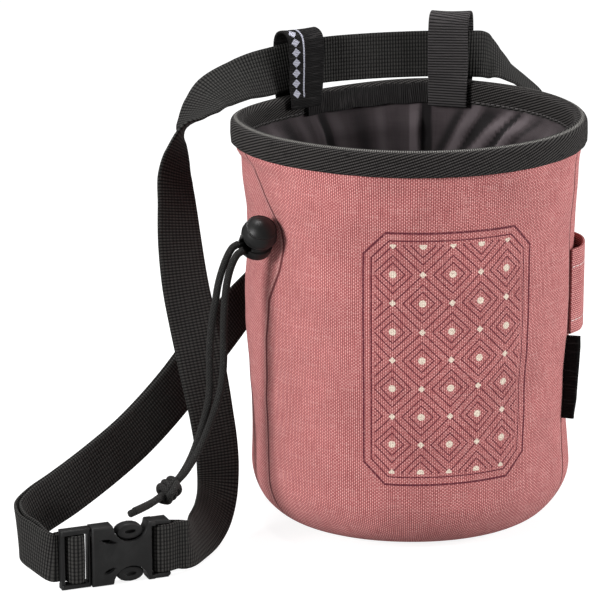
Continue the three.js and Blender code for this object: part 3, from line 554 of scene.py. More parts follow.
# %% Braid finish
cord_finish, tree, shader = new_finish("cord_braid", 0.78, sheen=0.02, specular=0.1)
uv_map = cloth_map(tree)
one = place_group(ribs, Vector=uv_map, Step=0.0011, Slope=1.0, Thread=0.0004)
two = place_group(ribs, Vector=uv_map, Step=0.0011, Slope=-1.0, Thread=0.0004)
top = larger(one["Height"], two["Height"])
tone = blend(ramp(top, 0.35, 0.95), (0.003, 0.003, 0.003, 1), (0.03, 0.029, 0.028, 1))
fleck = ramp(cloud(uv_map, 1500.0, 1.0), 0.62, 0.78)
tone = blend(fleck, tone, (0.09, 0.09, 0.085, 1))
feed(shader.inputs["Base Color"], tone)
raise_bump(shader, top, 0.00025)

# %% Two strands
strands = []
for name, sign in (("drawcord_left", -1), ("drawcord_right", 1)):
    points = strand_points(sign)
    line = smooth_line(points, 4)
    cord = cord_tube(name + "_braid", line, CORD_DIAMETER / 2)
    cord.data.materials.append(cord_finish)
    strands.append((name, cord, line))
    print(name, "length", round(line_length(line), 4))

# %% [markdown]
# ### Knot
#
# Both strands are tied together in one overhand knot. What shows outside is two turns of the
# doubled cord round itself and one crossing over them. The turns are a helix of two tubes side
# by side, and the crossing is a short arch over the helix.


# %% Tie the knot
def knot_frame():
    ahead = KNOT_TURN
    side = ahead.cross(Vector((0, 0, 1))).normalized()
    return ahead, side, side.cross(ahead)


def knot_line(offset):
    ahead, side, above = knot_frame()
    points = []
    turns = [(-3.4, 2.2, -40), (-2.6, 2.9, 30), (-1.7, 3.3, 110), (-1.1, 3.3, 190), (-0.5, 3.4, 270),
             (0.3, 3.5, 350), (0.9, 3.5, 430), (1.4, 3.4, 510), (2.0, 3.2, 590), (3.0, 2.6, 660),
             (3.8, 1.6, 700)]
    for along, radius, turn in turns:
        angle = math.radians(turn)
        spot = ahead * (along + offset) + side * math.cos(angle) * radius + above * math.sin(angle) * radius
        points.append(KNOT_CENTRE + spot * MM)
    return points


knot_parts = []
for offset in (-1.35, 1.35):
    part = cord_tube("knot_turn", smooth_line(knot_line(offset), 8), 1.42 * MM)
    knot_parts.append(part)
ahead, side, above = knot_frame()
arch = [(-3.6, -1.6, 1.5), (-2.4, -0.6, 4.0), (0, 0.3, 4.9), (2.4, 1.2, 4.1), (3.8, 1.8, 1.6)]
for shift in (-1.3, 1.3):
    points = [KNOT_CENTRE + (ahead * a + side * (-(b + shift)) + above * (c * 0.55) - side * c * 0.62) * MM
              for a, b, c in arch]
    knot_parts.append(cord_tube("knot_turn", smooth_line(points, 8), 1.4 * MM))


def join_pieces(name, pieces):
    """Join several objects' meshes, which all lie in the same frame, into one piece."""
    mesh = bpy.data.meshes.new(name)
    with editing(mesh) as bm:
        for piece in pieces:
            old = piece.data
            bm.from_mesh(old)
            bpy.data.objects.remove(piece)
            bpy.data.meshes.remove(old)
    return make_object(name, mesh)


knot = join_pieces("cord_knot_turns", knot_parts)
knot.data.materials.append(cord_finish)
dress(knot, "bag", "cord", "cord_knot")

for name, cord, line in strands:
    dress(cord, "bag", "cord", name, name.replace("drawcord", "cord_tail"))

# %% [markdown]
# ## Bag's wall
#
# The wall is one woven cloth with a stiff layer behind it, so it stands as a round bucket, but it
# still shows shallow dents, a tuck at the front of the base and small puckers where the rim tape
# is sewn on. The tables give radii and depths as shares of the rim's radius, and heights as
# shares of the bag's height, for the same form as the solid.

# %% Form of the wall
BAG_HEIGHT = 171 * MM
RIM_RADIUS = 72 * MM
BASE_RADIUS = 43 * MM
BASE_EDGE = 24 * MM
BINDING_HEIGHT = 10.4 * MM
BINDING_TAPE = 1.5 * MM
RIM_THICKNESS = 5.5 * MM
GAP = 0.3 * MM
SHELL_WALL = 1.8 * MM
BODY_ROWS = [(0.14, 0.918), (0.25, 0.915), (0.37, 0.922), (0.5, 0.936), (0.62, 0.943),
             (0.75, 0.944), (0.86, 0.96), (0.95, 0.972)]
DENT_ROWS = [
    (196, 0.74, 0.034, 26, 0.15), (222, 0.66, 0.022, 16, 0.22), (232, 0.4, 0.012, 14, 0.3),
    (176, 0.5, -0.012, 30, 0.22), (6, 0.42, 0.018, 30, 0.2), (352, 0.12, -0.014, 40, 0.14),
    (100, 0.55, 0.014, 24, 0.3), (60, 0.35, -0.01, 26, 0.22), (356, 0.587, 0.012, 20, 0.16),
]


def around(angle, radius, z):
    turn = math.radians(angle)
    return Vector((math.cos(turn) * radius, math.sin(turn) * radius, z))


def angle_of(place):
    return math.degrees(math.atan2(place.y, place.x)) % 360


def hump(x, half_width):
    t = min(1.0, abs(x) / half_width)
    return (1 - t * t) ** 2


def angle_between(a, b):
    return ((a - b + 540) % 360) - 180


def smoothstep(x, low, high):
    t = min(1.0, max(0.0, (x - low) / (high - low)))
    return t * t * (3 - 2 * t)


def column(rows, share):
    if share <= rows[0][0]:
        return rows[0][1]
    for low, high in zip(rows, rows[1:]):
        if share <= high[0]:
            return low[1] + (high[1] - low[1]) * smoothstep(share, low[0], high[0])
    return rows[-1][1]


def body_radius(angle, z):
    share = z / BAG_HEIGHT
    radius = column(BODY_ROWS, share)
    for at, height, depth, spread, rise in DENT_ROWS:
        radius -= depth * hump(angle_between(angle, at), spread) * hump(share - height, rise)
    return radius * RIM_RADIUS


def rim_fall(angle, z):
    start = BAG_HEIGHT * 0.8
    share = min(1, max(0, (z - start) / (BAG_HEIGHT - start)))
    return z - 0.019 * BAG_HEIGHT * hump(angle_between(angle, 138), 62) * share


def rim_swell(angle):
    return 0.029 * RIM_RADIUS * hump(angle_between(angle, 192), 54)


WALL_OUTSIDE = RIM_RADIUS - BINDING_TAPE - GAP
BINDING_INNER = RIM_RADIUS - RIM_THICKNESS
BINDING_FOOT = BAG_HEIGHT - BINDING_HEIGHT
SHELL_TOP = BAG_HEIGHT - BINDING_TAPE - GAP


def shell_radius(angle, z):
    free = body_radius(angle, z)
    lead = smoothstep(z, BINDING_FOOT - 7 * MM, BINDING_FOOT - 1 * MM)
    return free + (WALL_OUTSIDE + rim_swell(angle) - free) * lead


def base_flat(angle):
    return BASE_RADIUS * (1 - 0.14 * hump(angle_between(angle, 268), 72))


# %% [markdown]
# The side seam is where the cloth's two edges meet. It runs from the rim down to the base at the
# left, a little crooked where the wall dents. A second one closes the cloth at the right. Each
# corner of the wall stores its distance to the nearer seam in an attribute, and the material
# sinks a groove there, with painted shade in the groove and a painted highlight on the ridge
# beside it. That keeps the seam sharp without needing a very fine mesh.

# %% Make the wall
SEAM_ROWS = [(16, 209.5), (34, 207.4), (59, 207.1), (84, 208.4), (101, 211.3), (114, 216.3),
             (125, 218.7), (132, 217.5), (137, 213.8), (146, 208.7), (155, 202.5), (170, 196)]
RIGHT_SEAM = 342.0
FAR_FROM_SEAM = 20 * MM
WALL_GIRTH = 2 * math.pi * 67.5 * MM
ARC_LENGTH = 38 * MM
STRAIGHT = SHELL_TOP - BASE_EDGE
WALL_LENGTH = ARC_LENGTH + STRAIGHT


def seam_angle(z):
    level = min(max(z / MM, SEAM_ROWS[0][0]), SEAM_ROWS[-1][0])
    for (z0, a0), (z1, a1) in zip(SEAM_ROWS, SEAM_ROWS[1:]):
        if level <= z1:
            return a0 + (a1 - a0) * (level - z0) / (z1 - z0)


def seam_distance(angle, z):
    radius = 66 * MM
    left = math.radians(angle_between(angle, seam_angle(z))) * radius
    right = math.radians(angle_between(angle, RIGHT_SEAM)) * radius
    return left if abs(left) < abs(right) else right


def small_folds(angle, z):
    """Shallow unevenness of the cloth, and puckers under the sewn rim tape."""
    spot = around(angle, 1.0, z / RIM_RADIUS)
    soft = noise.noise(spot * 2.6 + Vector((3.1, 0.4, 7.7))) * 0.7
    fine = noise.noise(spot * 7.0 + Vector((1.7, 5.2, 0.3))) * 0.16
    near_tape = smoothstep(z, BINDING_FOOT - 16 * MM, BINDING_FOOT)
    pucker = math.sin(math.radians(angle * 41) + 2.2 * math.sin(math.radians(angle * 7))) * 0.16 * near_tape
    fade = 1 - smoothstep(z, BINDING_FOOT - 3 * MM, BINDING_FOOT + 2 * MM)
    low = smoothstep(z, 0, 14 * MM)
    return (soft + fine + pucker) * MM * fade * low


def wall_point(s, t):
    angle = RIGHT_SEAM + 360 * s
    run = t * WALL_LENGTH
    if run < ARC_LENGTH:
        turn = math.pi / 2 * run / ARC_LENGTH
        flat = base_flat(angle)
        reach = body_radius(angle, BASE_EDGE) - flat
        z = BASE_EDGE * (1 - math.cos(turn))
        return around(angle, flat + reach * math.sin(turn) + small_folds(angle, z), z)
    z = BASE_EDGE + run - ARC_LENGTH
    return around(angle, shell_radius(angle, z) + small_folds(angle, z), rim_fall(angle, z))


wall = rolled_patch("shell_cloth", 216, 130, (WALL_GIRTH, WALL_LENGTH), wall_point, ends=False)
seam = wall.data.attributes.new("seam", "FLOAT", "POINT")
for vertex, value in zip(wall.data.vertices, seam.data):
    value.value = seam_distance(angle_of(vertex.co), vertex.co.z)

base_bm = bmesh.new()
base_uv = base_bm.loops.layers.uv.new("cloth")
bmesh.ops.create_circle(base_bm, cap_ends=True, cap_tris=False, segments=216, radius=1)
for vert in base_bm.verts:
    angle = angle_of(vert.co)
    vert.co = around(angle, base_flat(angle) + 0.4 * MM, 0.15 * MM)
bmesh.ops.inset_region(base_bm, faces=base_bm.faces, thickness=1.6 * MM, depth=0)
for face in base_bm.faces:
    for loop in face.loops:
        loop[base_uv].uv = (loop.vert.co.x, loop.vert.co.y)
    if face.normal.z > 0:
        face.normal_flip()
base_mesh = bpy.data.meshes.new("base_panel_cloth")
base_bm.to_mesh(base_mesh)
base_bm.free()
base_panel = make_object("base_panel_cloth", base_mesh)
base_seam = base_mesh.attributes.new("seam", "FLOAT", "POINT")
for vertex, value in zip(base_mesh.vertices, base_seam.data):
    value.value = FAR_FROM_SEAM
print("wall corners", len(wall.data.vertices))

# %% [markdown]
# ### Ornament on the front
#
# The front carries a printed panel. It is a plain ornament: a double frame with cut corners round
# a lattice of diamonds with dots. It is drawn by sums on the UV map, so it lies on the cloth and
# follows its curve. The group gives one mask for the dark print and one for the light print.

# %% Ornament group
ornament, o_in, o_out = new_group(
    "diamond_ornament",
    {"Vector": None},
    ["Dark", "Light"],
)
xyz = split(o_in["Vector"])
x_abs = absolute(xyz[0])
y_abs = absolute(xyz[1])
half_w, half_h, cut = 0.0355, 0.0525, 0.009


def frame_distance(inset):
    """Distance to the edge of a box with cut corners, negative inside."""
    side = minus(x_abs, half_w - inset)
    top = minus(y_abs, half_h - inset)
    corner = times(minus(plus(x_abs, y_abs),
                                         half_w + half_h - cut - inset * 1.414), 0.7071)
    return larger(larger(side, top), corner)


def thin_line(distance, half_width, soft=0.00012):
    return ramp(absolute(distance), half_width - soft, half_width + soft, 1.0, 0.0)


outer = thin_line(frame_distance(0.0), 0.00045)
inner_distance = frame_distance(0.0032)
inner = thin_line(inner_distance, 0.0003)
step = 0.0237
half_step = step * 0.7071
diag_a = over(plus(xyz[0], xyz[1]), step)
diag_b = over(minus(xyz[0], xyz[1]), step)


def from_middle(value):
    return absolute(minus(fraction(value), 0.5))


near_a = times(minus(0.5, from_middle(diag_a)), half_step)
near_b = times(minus(0.5, from_middle(diag_b)), half_step)
lattice = larger(thin_line(near_a, 0.00026), thin_line(near_b, 0.00026))
mid_a = times(from_middle(diag_a), half_step)
mid_b = times(from_middle(diag_b), half_step)
diamond = larger(mid_a, mid_b)
diamond_rings = larger(thin_line(minus(diamond, 0.0055), 0.00025),
                     thin_line(minus(diamond, 0.0034), 0.00025))
dot = ramp(root(plus(power(mid_a, 2.0),
                                                 power(mid_b, 2.0))), 0.0013, 0.0016, 1.0, 0.0)
crossing = ramp(larger(near_a, near_b), 0.0009, 0.0011, 1.0, 0.0)
field = ramp(frame_distance(0.0046), -0.0001, 0.0001, 1.0, 0.0)
inside = times(larger(lattice, diamond_rings), field)
dark = larger(larger(outer, inner), inside)
light = times(larger(dot, crossing), field)
feed(o_out["Dark"], minus(dark, light, clamp=True))
feed(o_out["Light"], light)

# %% [markdown]
# ### Rose cloth
#
# The cloth is a melange: rose threads with paler and darker ones among them, in a plain weave
# whose upright threads stand 0.88 mm apart and its cross threads 0.67 mm. Slow patches, the print,
# the seam groove and the stitches are laid over it in that order.


# %% Rose finish
ROSE_CROSS, ROSE_UPRIGHT = (0.55, 0.175, 0.172, 1), (0.8, 0.36, 0.345, 1)
ROSE_PALE, ROSE_DARK, ROSE_GAP = (0.9, 0.5, 0.47, 1), (0.4, 0.11, 0.115, 1), (0.2, 0.03, 0.035, 1)
PRINT_DARK, PRINT_LIGHT = (0.12, 0.018, 0.032, 1), (0.9, 0.78, 0.64, 1)
SEAM_GROOVE_SHADE, SEAM_RIDGE_HIGHLIGHT, BASE_SEAM_SHADE = (0.12, 0.015, 0.02, 1), (0.95, 0.66, 0.62, 1), (0.1, 0.014, 0.018, 1)
STITCH_PALE = (0.95, 0.75, 0.72, 1)


def rose_finish(name, with_seam=False, with_print=False, stitch_rows=()):
    finish, tree, shader = new_finish(name, 0.88, sheen=0.06, specular=0.12)
    uv_map = cloth_map(tree)
    threads = place_group(weave, Vector=uv_map, Across=0.00088, Along=0.00067)
    streaks = place_group(yarn, Vector=uv_map, Upright_thread=threads["Upright thread"])
    tone = blend(threads["Upright thread"], ROSE_CROSS, ROSE_UPRIGHT)
    tone = blend(ramp(streaks["Streak"], 0.5, 0.8, 0.0, 0.6), tone, ROSE_PALE)
    tone = blend(ramp(streaks["Streak"], 0.5, 0.22, 0.0, 0.6), tone, ROSE_DARK)
    gap = ramp(threads["Column"], 0.8, 0.1, 0.0, 0.95)
    tone = blend(gap, tone, ROSE_GAP)
    tone = blend(ramp(threads["Height"], 0.6, 0.1, 0.0, 0.55), tone, ROSE_GAP)
    patch = ramp(streaks["Patch"], 0.3, 0.7, 0.94, 1.05)
    tone = blend(1.0, tone, patch, "MULTIPLY")
    height = threads["Height"]
    if with_print:
        shift = add_node(tree, "ShaderNodeVectorMath", operation="SUBTRACT")
        feed(shift.inputs[0], uv_map)
        feed(shift.inputs[1], PRINT_CENTRE)
        masks = place_group(ornament, Vector=shift.outputs[0])
        worn = ramp(cloud(uv_map, 900.0, 2.0), 0.25, 0.5, 0.5, 0.95)
        tone = blend(times(masks["Dark"], worn), tone, PRINT_DARK)
        tone = blend(times(masks["Light"], worn), tone, PRINT_LIGHT)
    if with_seam:
        distance = stored(tree, "seam")
        # Painted shade darkens the seam's groove, and a painted highlight lies on the ridge beside it; both
        # also shape the bump.
        groove = ramp(absolute(distance), 0.0002, 0.0009, 1.0, 0.0)
        ridge = ramp(absolute(plus(distance, 0.0013)), 0.0, 0.0012, 1.0, 0.0)
        tone = blend(times(groove, 0.9), tone, SEAM_GROOVE_SHADE)
        tone = blend(times(ridge, 0.14), tone, SEAM_RIDGE_HIGHLIGHT)
        # Painted shade in a thin band along the base seam, at the foot of the wall.
        foot = ramp(split(uv_map)[1], BASE_SEAM_RUN, BASE_SEAM_RUN * 2.2, 0.75, 0.0)
        tone = blend(foot, tone, BASE_SEAM_SHADE)
        height = times_plus(groove, -3.5, height)
        height = times_plus(ridge, 2.0, height)
    across = split(uv_map)
    for row in stitch_rows:
        thread = place_group(stitches, Distance=minus(across[0], row), Run=across[1])["Thread"]
        tone = blend(times(thread, 0.85), tone, STITCH_PALE)
        height = times_plus(thread, 1.5, height)
    feed(shader.inputs["Base Color"], tone)
    raise_bump(shader, height, 0.00022)
    return finish


BASE_SEAM_RUN = 0.9 * MM
PRINT_CENTRE = (
    (282.5 - RIGHT_SEAM) % 360 / 360 * WALL_GIRTH,
    ARC_LENGTH + 85 * MM - BASE_EDGE,
    0.0,
)
shell_finish = rose_finish("rose_cloth_printed", with_seam=True, with_print=True)
plain_rose = rose_finish("rose_cloth")
wall.data.materials.append(shell_finish)
base_panel.data.materials.append(plain_rose)
thick = wall.modifiers.new("cloth_thickness", "SOLIDIFY")
thick.thickness = 1.2 * MM
thick.offset = -1
for piece, node in ((wall, "shell"), (base_panel, "base_panel")):
    dress(piece, "bag", "shell_fabric", node)

# %% [markdown]
# ## Rim binding
#
# A twill tape is folded over the top edge and sewn through. Its section is an upside-down U. The
# section is swept once round the rim, as a patch whose cross direction is the tape's own width,
# so the twill keeps the same slope all round.

# %% Fold the tape over the rim
def binding_section():
    top = BAG_HEIGHT - 2.75 * MM
    middle = RIM_RADIUS - RIM_THICKNESS / 2
    outside = [(RIM_RADIUS - 0.35 * MM, BINDING_FOOT), (RIM_RADIUS + 0.05 * MM, BINDING_FOOT + 0.5 * MM),
               (RIM_RADIUS + 0.25 * MM, BINDING_FOOT + 3.5 * MM)]
    fold = [(middle + math.cos(math.pi * k / 10) * (RIM_THICKNESS / 2 + 0.15 * MM),
             top + math.sin(math.pi * k / 10) * 2.75 * MM) for k in range(11)]
    inside = [(BINDING_INNER - 0.1 * MM, BINDING_FOOT + 3.5 * MM), (BINDING_INNER, BINDING_FOOT + 0.4 * MM),
              (BINDING_INNER + 0.4 * MM, BINDING_FOOT)]
    slot = [(BINDING_INNER + 1.3 * MM, BINDING_FOOT), (BINDING_INNER + 1.4 * MM, BAG_HEIGHT - 2 * MM),
            (RIM_RADIUS - 1.4 * MM, BAG_HEIGHT - 2 * MM), (RIM_RADIUS - 1.3 * MM, BINDING_FOOT)]
    return outside + fold + inside + slot


def section_runs(section):
    """Distance round the section at each of its points, for a UV map without stretch."""
    runs = [0.0]
    for a, b in zip(section, section[1:] + section[:1]):
        runs.append(runs[-1] + math.hypot(b[0] - a[0], b[1] - a[1]))
    return runs


section = binding_section()
runs = section_runs(section)
CROWN_RUN = runs[3 + 4]
INNER_STITCH_RUN = runs[15] - 1.0 * MM


def binding_point(s, t):
    radius, z = section[round(t * len(section)) % len(section)]
    angle = 360 * s
    ripple = math.sin(math.radians(angle * 37) + 1.3 * math.sin(math.radians(angle * 5))) * 0.12 * MM
    low = 1 - smoothstep(z, BINDING_FOOT, BINDING_FOOT + 5 * MM)
    return around(angle, radius + rim_swell(angle) + ripple * low, rim_fall(angle, z))


binding = rolled_patch("rim_binding_tape", 240, len(section), (2 * math.pi * 70 * MM, 1.0), binding_point,
                       ends=False)
for item in binding.data.uv_layers["cloth"].data:
    item.uv.y = runs[min(len(runs) - 1, round(item.uv.y * len(section)))]
with editing(binding.data, binding.data) as bm:
    bmesh.ops.remove_doubles(bm, verts=bm.verts, dist=WELD)
    bmesh.ops.recalc_face_normals(bm, faces=bm.faces)
binding.data.shade_smooth()

# %% Twill finish
TWILL_THREAD = 0.9 * MM
twill_finish, tree, shader = new_finish("twill_tape", 0.85, sheen=0.02, specular=0.08)
uv_map = cloth_map(tree)
twill = place_group(ribs, Vector=uv_map, Step=0.00118, Slope=0.34, Thread=TWILL_THREAD)
streaks = place_group(yarn, Vector=uv_map, Upright_thread=0.0)
tone = blend(ramp(twill["Height"], 0.35, 0.98), (0.0015, 0.0014, 0.0014, 1), (0.066, 0.061, 0.059, 1))
tone = blend(ramp(streaks["Streak"], 0.45, 0.2, 0.0, 0.7), tone, (0.006, 0.0055, 0.0055, 1))
xyz = split(uv_map)
# Painted highlight on the thread tops along the crown of the fold over the rim.
crown = ramp(absolute(minus(xyz[1], CROWN_RUN)), 0.0, 0.0012, 1.0, 0.0)
tick = ramp(thread_hump(over(xyz[0], TWILL_THREAD)), 0.5, 0.95)
tone = blend(times(crown, times(tick, 0.8)), tone, (0.32, 0.31, 0.29, 1))
inner_row = minus(xyz[1], INNER_STITCH_RUN)
thread = place_group(stitches, Distance=inner_row, Run=xyz[0])["Thread"]
tone = blend(times(thread, 0.7), tone, (0.16, 0.15, 0.15, 1))
feed(shader.inputs["Base Color"], tone)
raise_bump(shader, twill["Height"], 0.00035)
binding.data.materials.append(twill_finish)
dress(binding, "bag", "binding_tape", "rim_binding")
print("binding faces", len(binding.data.polygons))

# %% [markdown]
# ## Lining
#
# The lining is a soft sleeve that the drawcord pulls in below the rim. Cloth that is pulled in
# falls into folds, deep at the cord and fading towards the sewn edge. The folds come from two
# tables of angles, widths and depths, so that none is like its neighbour. These lamps leave them
# flat, so light and shade are painted into the cloth's colour: a painted highlight on the ridges
# and painted shade in the valleys.

# %% Gather the lining
LINING_ROWS = [(0.14, 0.004), (0.45, 0.01), (0.6, 0.03), (0.7, 0.07), (0.745, 0.09), (0.8, 0.07),
               (0.87, 0.026), (0.93, 0.004)]
GATHER_ROWS = [(0.14, 0.0), (0.45, 0.004), (0.6, 0.012), (0.7, 0.03), (0.745, 0.036), (0.8, 0.03),
               (0.87, 0.014), (0.93, 0.0)]
# Folds as lines: angle at the drawcord, angle at the rim, half width in degrees, depth
FOLD_ROWS = [
    (76, 63, 3.2, 2.4), (72, 47, 4.2, 3.2), (64, 37, 4.5, 2.6), (55, 28, 5, 2.2), (99, 100, 4, 0.9),
    (113, 119, 6, 1.4), (127, 135, 5, 1.3), (139, 151, 6, 1.6), (154, 168, 6, 1.6), (172, 184, 6, 1.8),
    (190, 196, 6, 2), (206, 212, 5, 1.8), (222, 224, 7, 2), (241, 240, 6, 1.6), (258, 255, 7, 2),
    (276, 276, 6, 1.8), (293, 297, 7, 2.2), (311, 315, 6, 1.8), (328, 330, 7, 2), (346, 343, 6, 1.8),
    (8, 3, 7, 2.2), (26, 12, 6, 2.2), (40, 22, 5, 2),
]
# Folds that fall over: angle of the sharp edge at the drawcord and at the rim, width, depth
LAP_ROWS = [(84.5, 85.2, 24, 3.6), (121, 126, 13, 1.6), (59, 42, -13, 2.4), (214, 210, 20, 2.4),
            (318, 322, 18, 2.6)]
FOLD_LOW = 0.76
FOLD_HIGH = 0.94


def shell_inside(angle, z):
    free = body_radius(angle, z) - SHELL_WALL
    lead = smoothstep(z, BINDING_FOOT - 7 * MM, BINDING_FOOT - 1 * MM)
    held = WALL_OUTSIDE - SHELL_WALL + rim_swell(angle)
    return free + (held - free) * lead


def fold_depth(angle, share):
    """Depth of all folds at a place, in millimetres, before they fade towards the sewn edge."""
    part = min(1.2, max(-0.6, (share - FOLD_LOW) / (FOLD_HIGH - FOLD_LOW)))
    depth = 0.0
    for low, high, width, deep in FOLD_ROWS:
        off = angle_between(angle, low + (high - low) * part)
        if abs(off) < width * 3:
            depth += deep * math.exp(-(off / width) ** 2)
    for low, high, width, deep in LAP_ROWS:
        off = angle_between(angle, low + (high - low) * part) * (1 if width > 0 else -1)
        if -2 < off < abs(width):
            depth += deep * smoothstep(off, -1.4, 0.2) * (1 - max(0, off) / abs(width)) ** 1.3
    return depth


def lining_radius(angle, z):
    share = z / BAG_HEIGHT
    inset = column(LINING_ROWS, share)
    gather = column(GATHER_ROWS, share)
    wave = 0.5 - 0.5 * math.cos(math.radians(angle * 9 + 40 * math.sin(math.radians(angle * 2))))
    fade = smoothstep(share, 0.35, 0.72) * (1 - 0.9 * smoothstep(share, 0.885, 0.94))
    spot = around(angle, 1.0, z / RIM_RADIUS)
    crumple = noise.noise(spot * 5.5 + Vector((9.2, 1.1, 4.4))) * 0.8
    crumple += noise.noise(spot * 13 + Vector((2, 8, 1))) * 0.25
    depth = (fold_depth(angle, share) + crumple) * fade * MM
    return shell_inside(angle, z) - 1.2 * MM - inset * RIM_RADIUS - gather * 0.3 * wave * RIM_RADIUS - depth


LINING_TOP = BINDING_FOOT + 0.4 * MM
LINING_FLOOR = 4.6 * MM


def lining_point(s, t):
    angle = 360 * s
    if t < 0.2:
        turn = math.pi / 2 * t / 0.2
        edge = lining_radius(angle, BASE_EDGE)
        flat = 30 * MM
        return around(angle, flat + (edge - flat) * math.sin(turn),
                      LINING_FLOOR + (BASE_EDGE - LINING_FLOOR) * (1 - math.cos(turn)))
    z = BASE_EDGE + (LINING_TOP - BASE_EDGE) * (t - 0.2) / 0.8
    return around(angle, lining_radius(angle, z), rim_fall(angle, z))


lining = rolled_patch("lining_cloth", 400, 84, (0.4, 0.17), lining_point, ends=False)
with editing(lining.data, lining.data) as bm:
    floor_edges = [e for e in bm.edges if e.is_boundary and e.verts[0].co.z < BASE_EDGE]
    bmesh.ops.holes_fill(bm, edges=floor_edges, sides=0)
    bmesh.ops.recalc_face_normals(bm, faces=bm.faces)
    bmesh.ops.reverse_faces(bm, faces=bm.faces)

# Each corner stores how far its fold stands out from the cloth on both sides of it
FOLD_REACH = 4.0
relief = lining.data.attributes.new("fold_relief", "FLOAT", "POINT")
for corner in lining.data.vertices:
    share = corner.co.z / BAG_HEIGHT
    angle = angle_of(corner.co)
    middle = fold_depth(angle, share)
    sides = sum(fold_depth((angle + step) % 360, share) for step in (-FOLD_REACH, FOLD_REACH)) / 2
    fade = smoothstep(share, 0.5, 0.75) * (1 - 0.6 * smoothstep(share, 0.9, 0.95))
    relief.data[corner.index].value = min(1.0, max(0.0, 0.5 + (middle - sides) * 0.55 * fade))
lining_wall = lining.modifiers.new("cloth_thickness", "SOLIDIFY")
lining_wall.thickness = 0.8 * MM
lining_wall.offset = -1

# %% Lining finish
lining_finish, tree, shader = new_finish("lining_cloth", 0.72, sheen=0.12, specular=0.15)
uv_map = cloth_map(tree)
threads = place_group(weave, Vector=uv_map, Across=0.0004, Along=0.0004)
streaks = place_group(yarn, Vector=uv_map, Upright_thread=0.5)
tone = blend(streaks["Streak"], (0.036, 0.027, 0.03, 1), (0.06, 0.048, 0.051, 1))
tone = blend(1.0, tone, ramp(streaks["Patch"], 0.3, 0.7, 0.9, 1.15), "MULTIPLY")
# Painted highlight on the fold ridges and painted shade in the fold valleys, read from the stored fold
# relief.
painted_fold_shading = stored(tree, "fold_relief")
tone = blend(ramp(painted_fold_shading, 0.5, 1.0, 0.0, 0.85), tone, (0.105, 0.086, 0.092, 1))
tone = blend(ramp(painted_fold_shading, 0.5, 0.0, 0.0, 0.92), tone, (0.004, 0.003, 0.0035, 1))
feed(shader.inputs["Base Color"], tone)
raise_bump(shader, threads["Height"], 0.00006)
lining.data.materials.append(lining_finish)
dress(lining, "bag", "lining_fabric", "lining", "lining_collar")
print("lining faces", len(lining.data.polygons))

# %% [markdown]
# ## Strips of tape and webbing
#
# Belt, loops, label and reinforcement tape are all strips: a flat section swept along a line,
# with the direction of the width given at each station and turned smoothly in between. The
# section has rounded edges, because woven edges are round.


# %% Strip helper
def strip_section(width, thickness, crown=0.0):
    """Flat section with round edges, from the back edge round to the front."""
    edge = thickness / 2
    half = width / 2 - edge
    turns = [math.radians(-60 + 30 * k) for k in range(5)]
    right = [(half + math.cos(a) * edge, math.sin(a) * edge) for a in turns]
    count = 8
    top = [(half - 2 * half * k / count, edge + crown * hump(k / count * 2 - 1, 1)) for k in range(count + 1)]
    left = [(-x, -y) for x, y in right]
    bottom = [(-x, -edge) for x, _ in top]
    return right + top + left + bottom


def strip(name, stations, width, thickness, steps, crown=0.0):
    line = smooth_line([c for c, _ in stations], steps)
    sides = []
    for i in range(len(line)):
        index = min(len(stations) - 2, i // steps)
        part = i / steps - index
        sides.append(stations[index][1].lerp(stations[index + 1][1], part))
    tangents = tangents_of(line)
    section = strip_section(width, thickness, crown)
    runs = section_runs(section)
    lengths = [0.0]
    for a, b in zip(line, line[1:]):
        lengths.append(lengths[-1] + (b - a).length)
    last = len(line) - 1
    count = len(section)

    def place(s, t):
        i = min(last, round(t * last))
        side = (sides[i] - tangents[i] * sides[i].dot(tangents[i])).normalized()
        face = tangents[i].cross(side).normalized()
        x, y = section[round(s * count) % count]
        return line[i] + side * x + face * y

    piece = rolled_patch(name, count, last, (1.0, 1.0), place)
    for item in piece.data.uv_layers["cloth"].data:
        item.uv = (runs[round(item.uv.x * count)], lengths[min(last, round(item.uv.y * last))])
    print(name, "length", round(lengths[-1] / MM, 1), "mm")
    return piece


def station(centre, side):
    return Vector(centre), Vector(side).normalized()


# %% [markdown]
# ## Waist belt
#
# The belt is one loop of 20 mm webbing. Its sewn end turns round the bar of the buckle's socket,
# the strap twists up to the loops at the back of the rim, comes round behind the bag and down to
# the buckle's plug, and its free end is folded back over itself. The stations are those of the
# solid: x and y as shares of the rim's radius, and rise as the share of the way up.

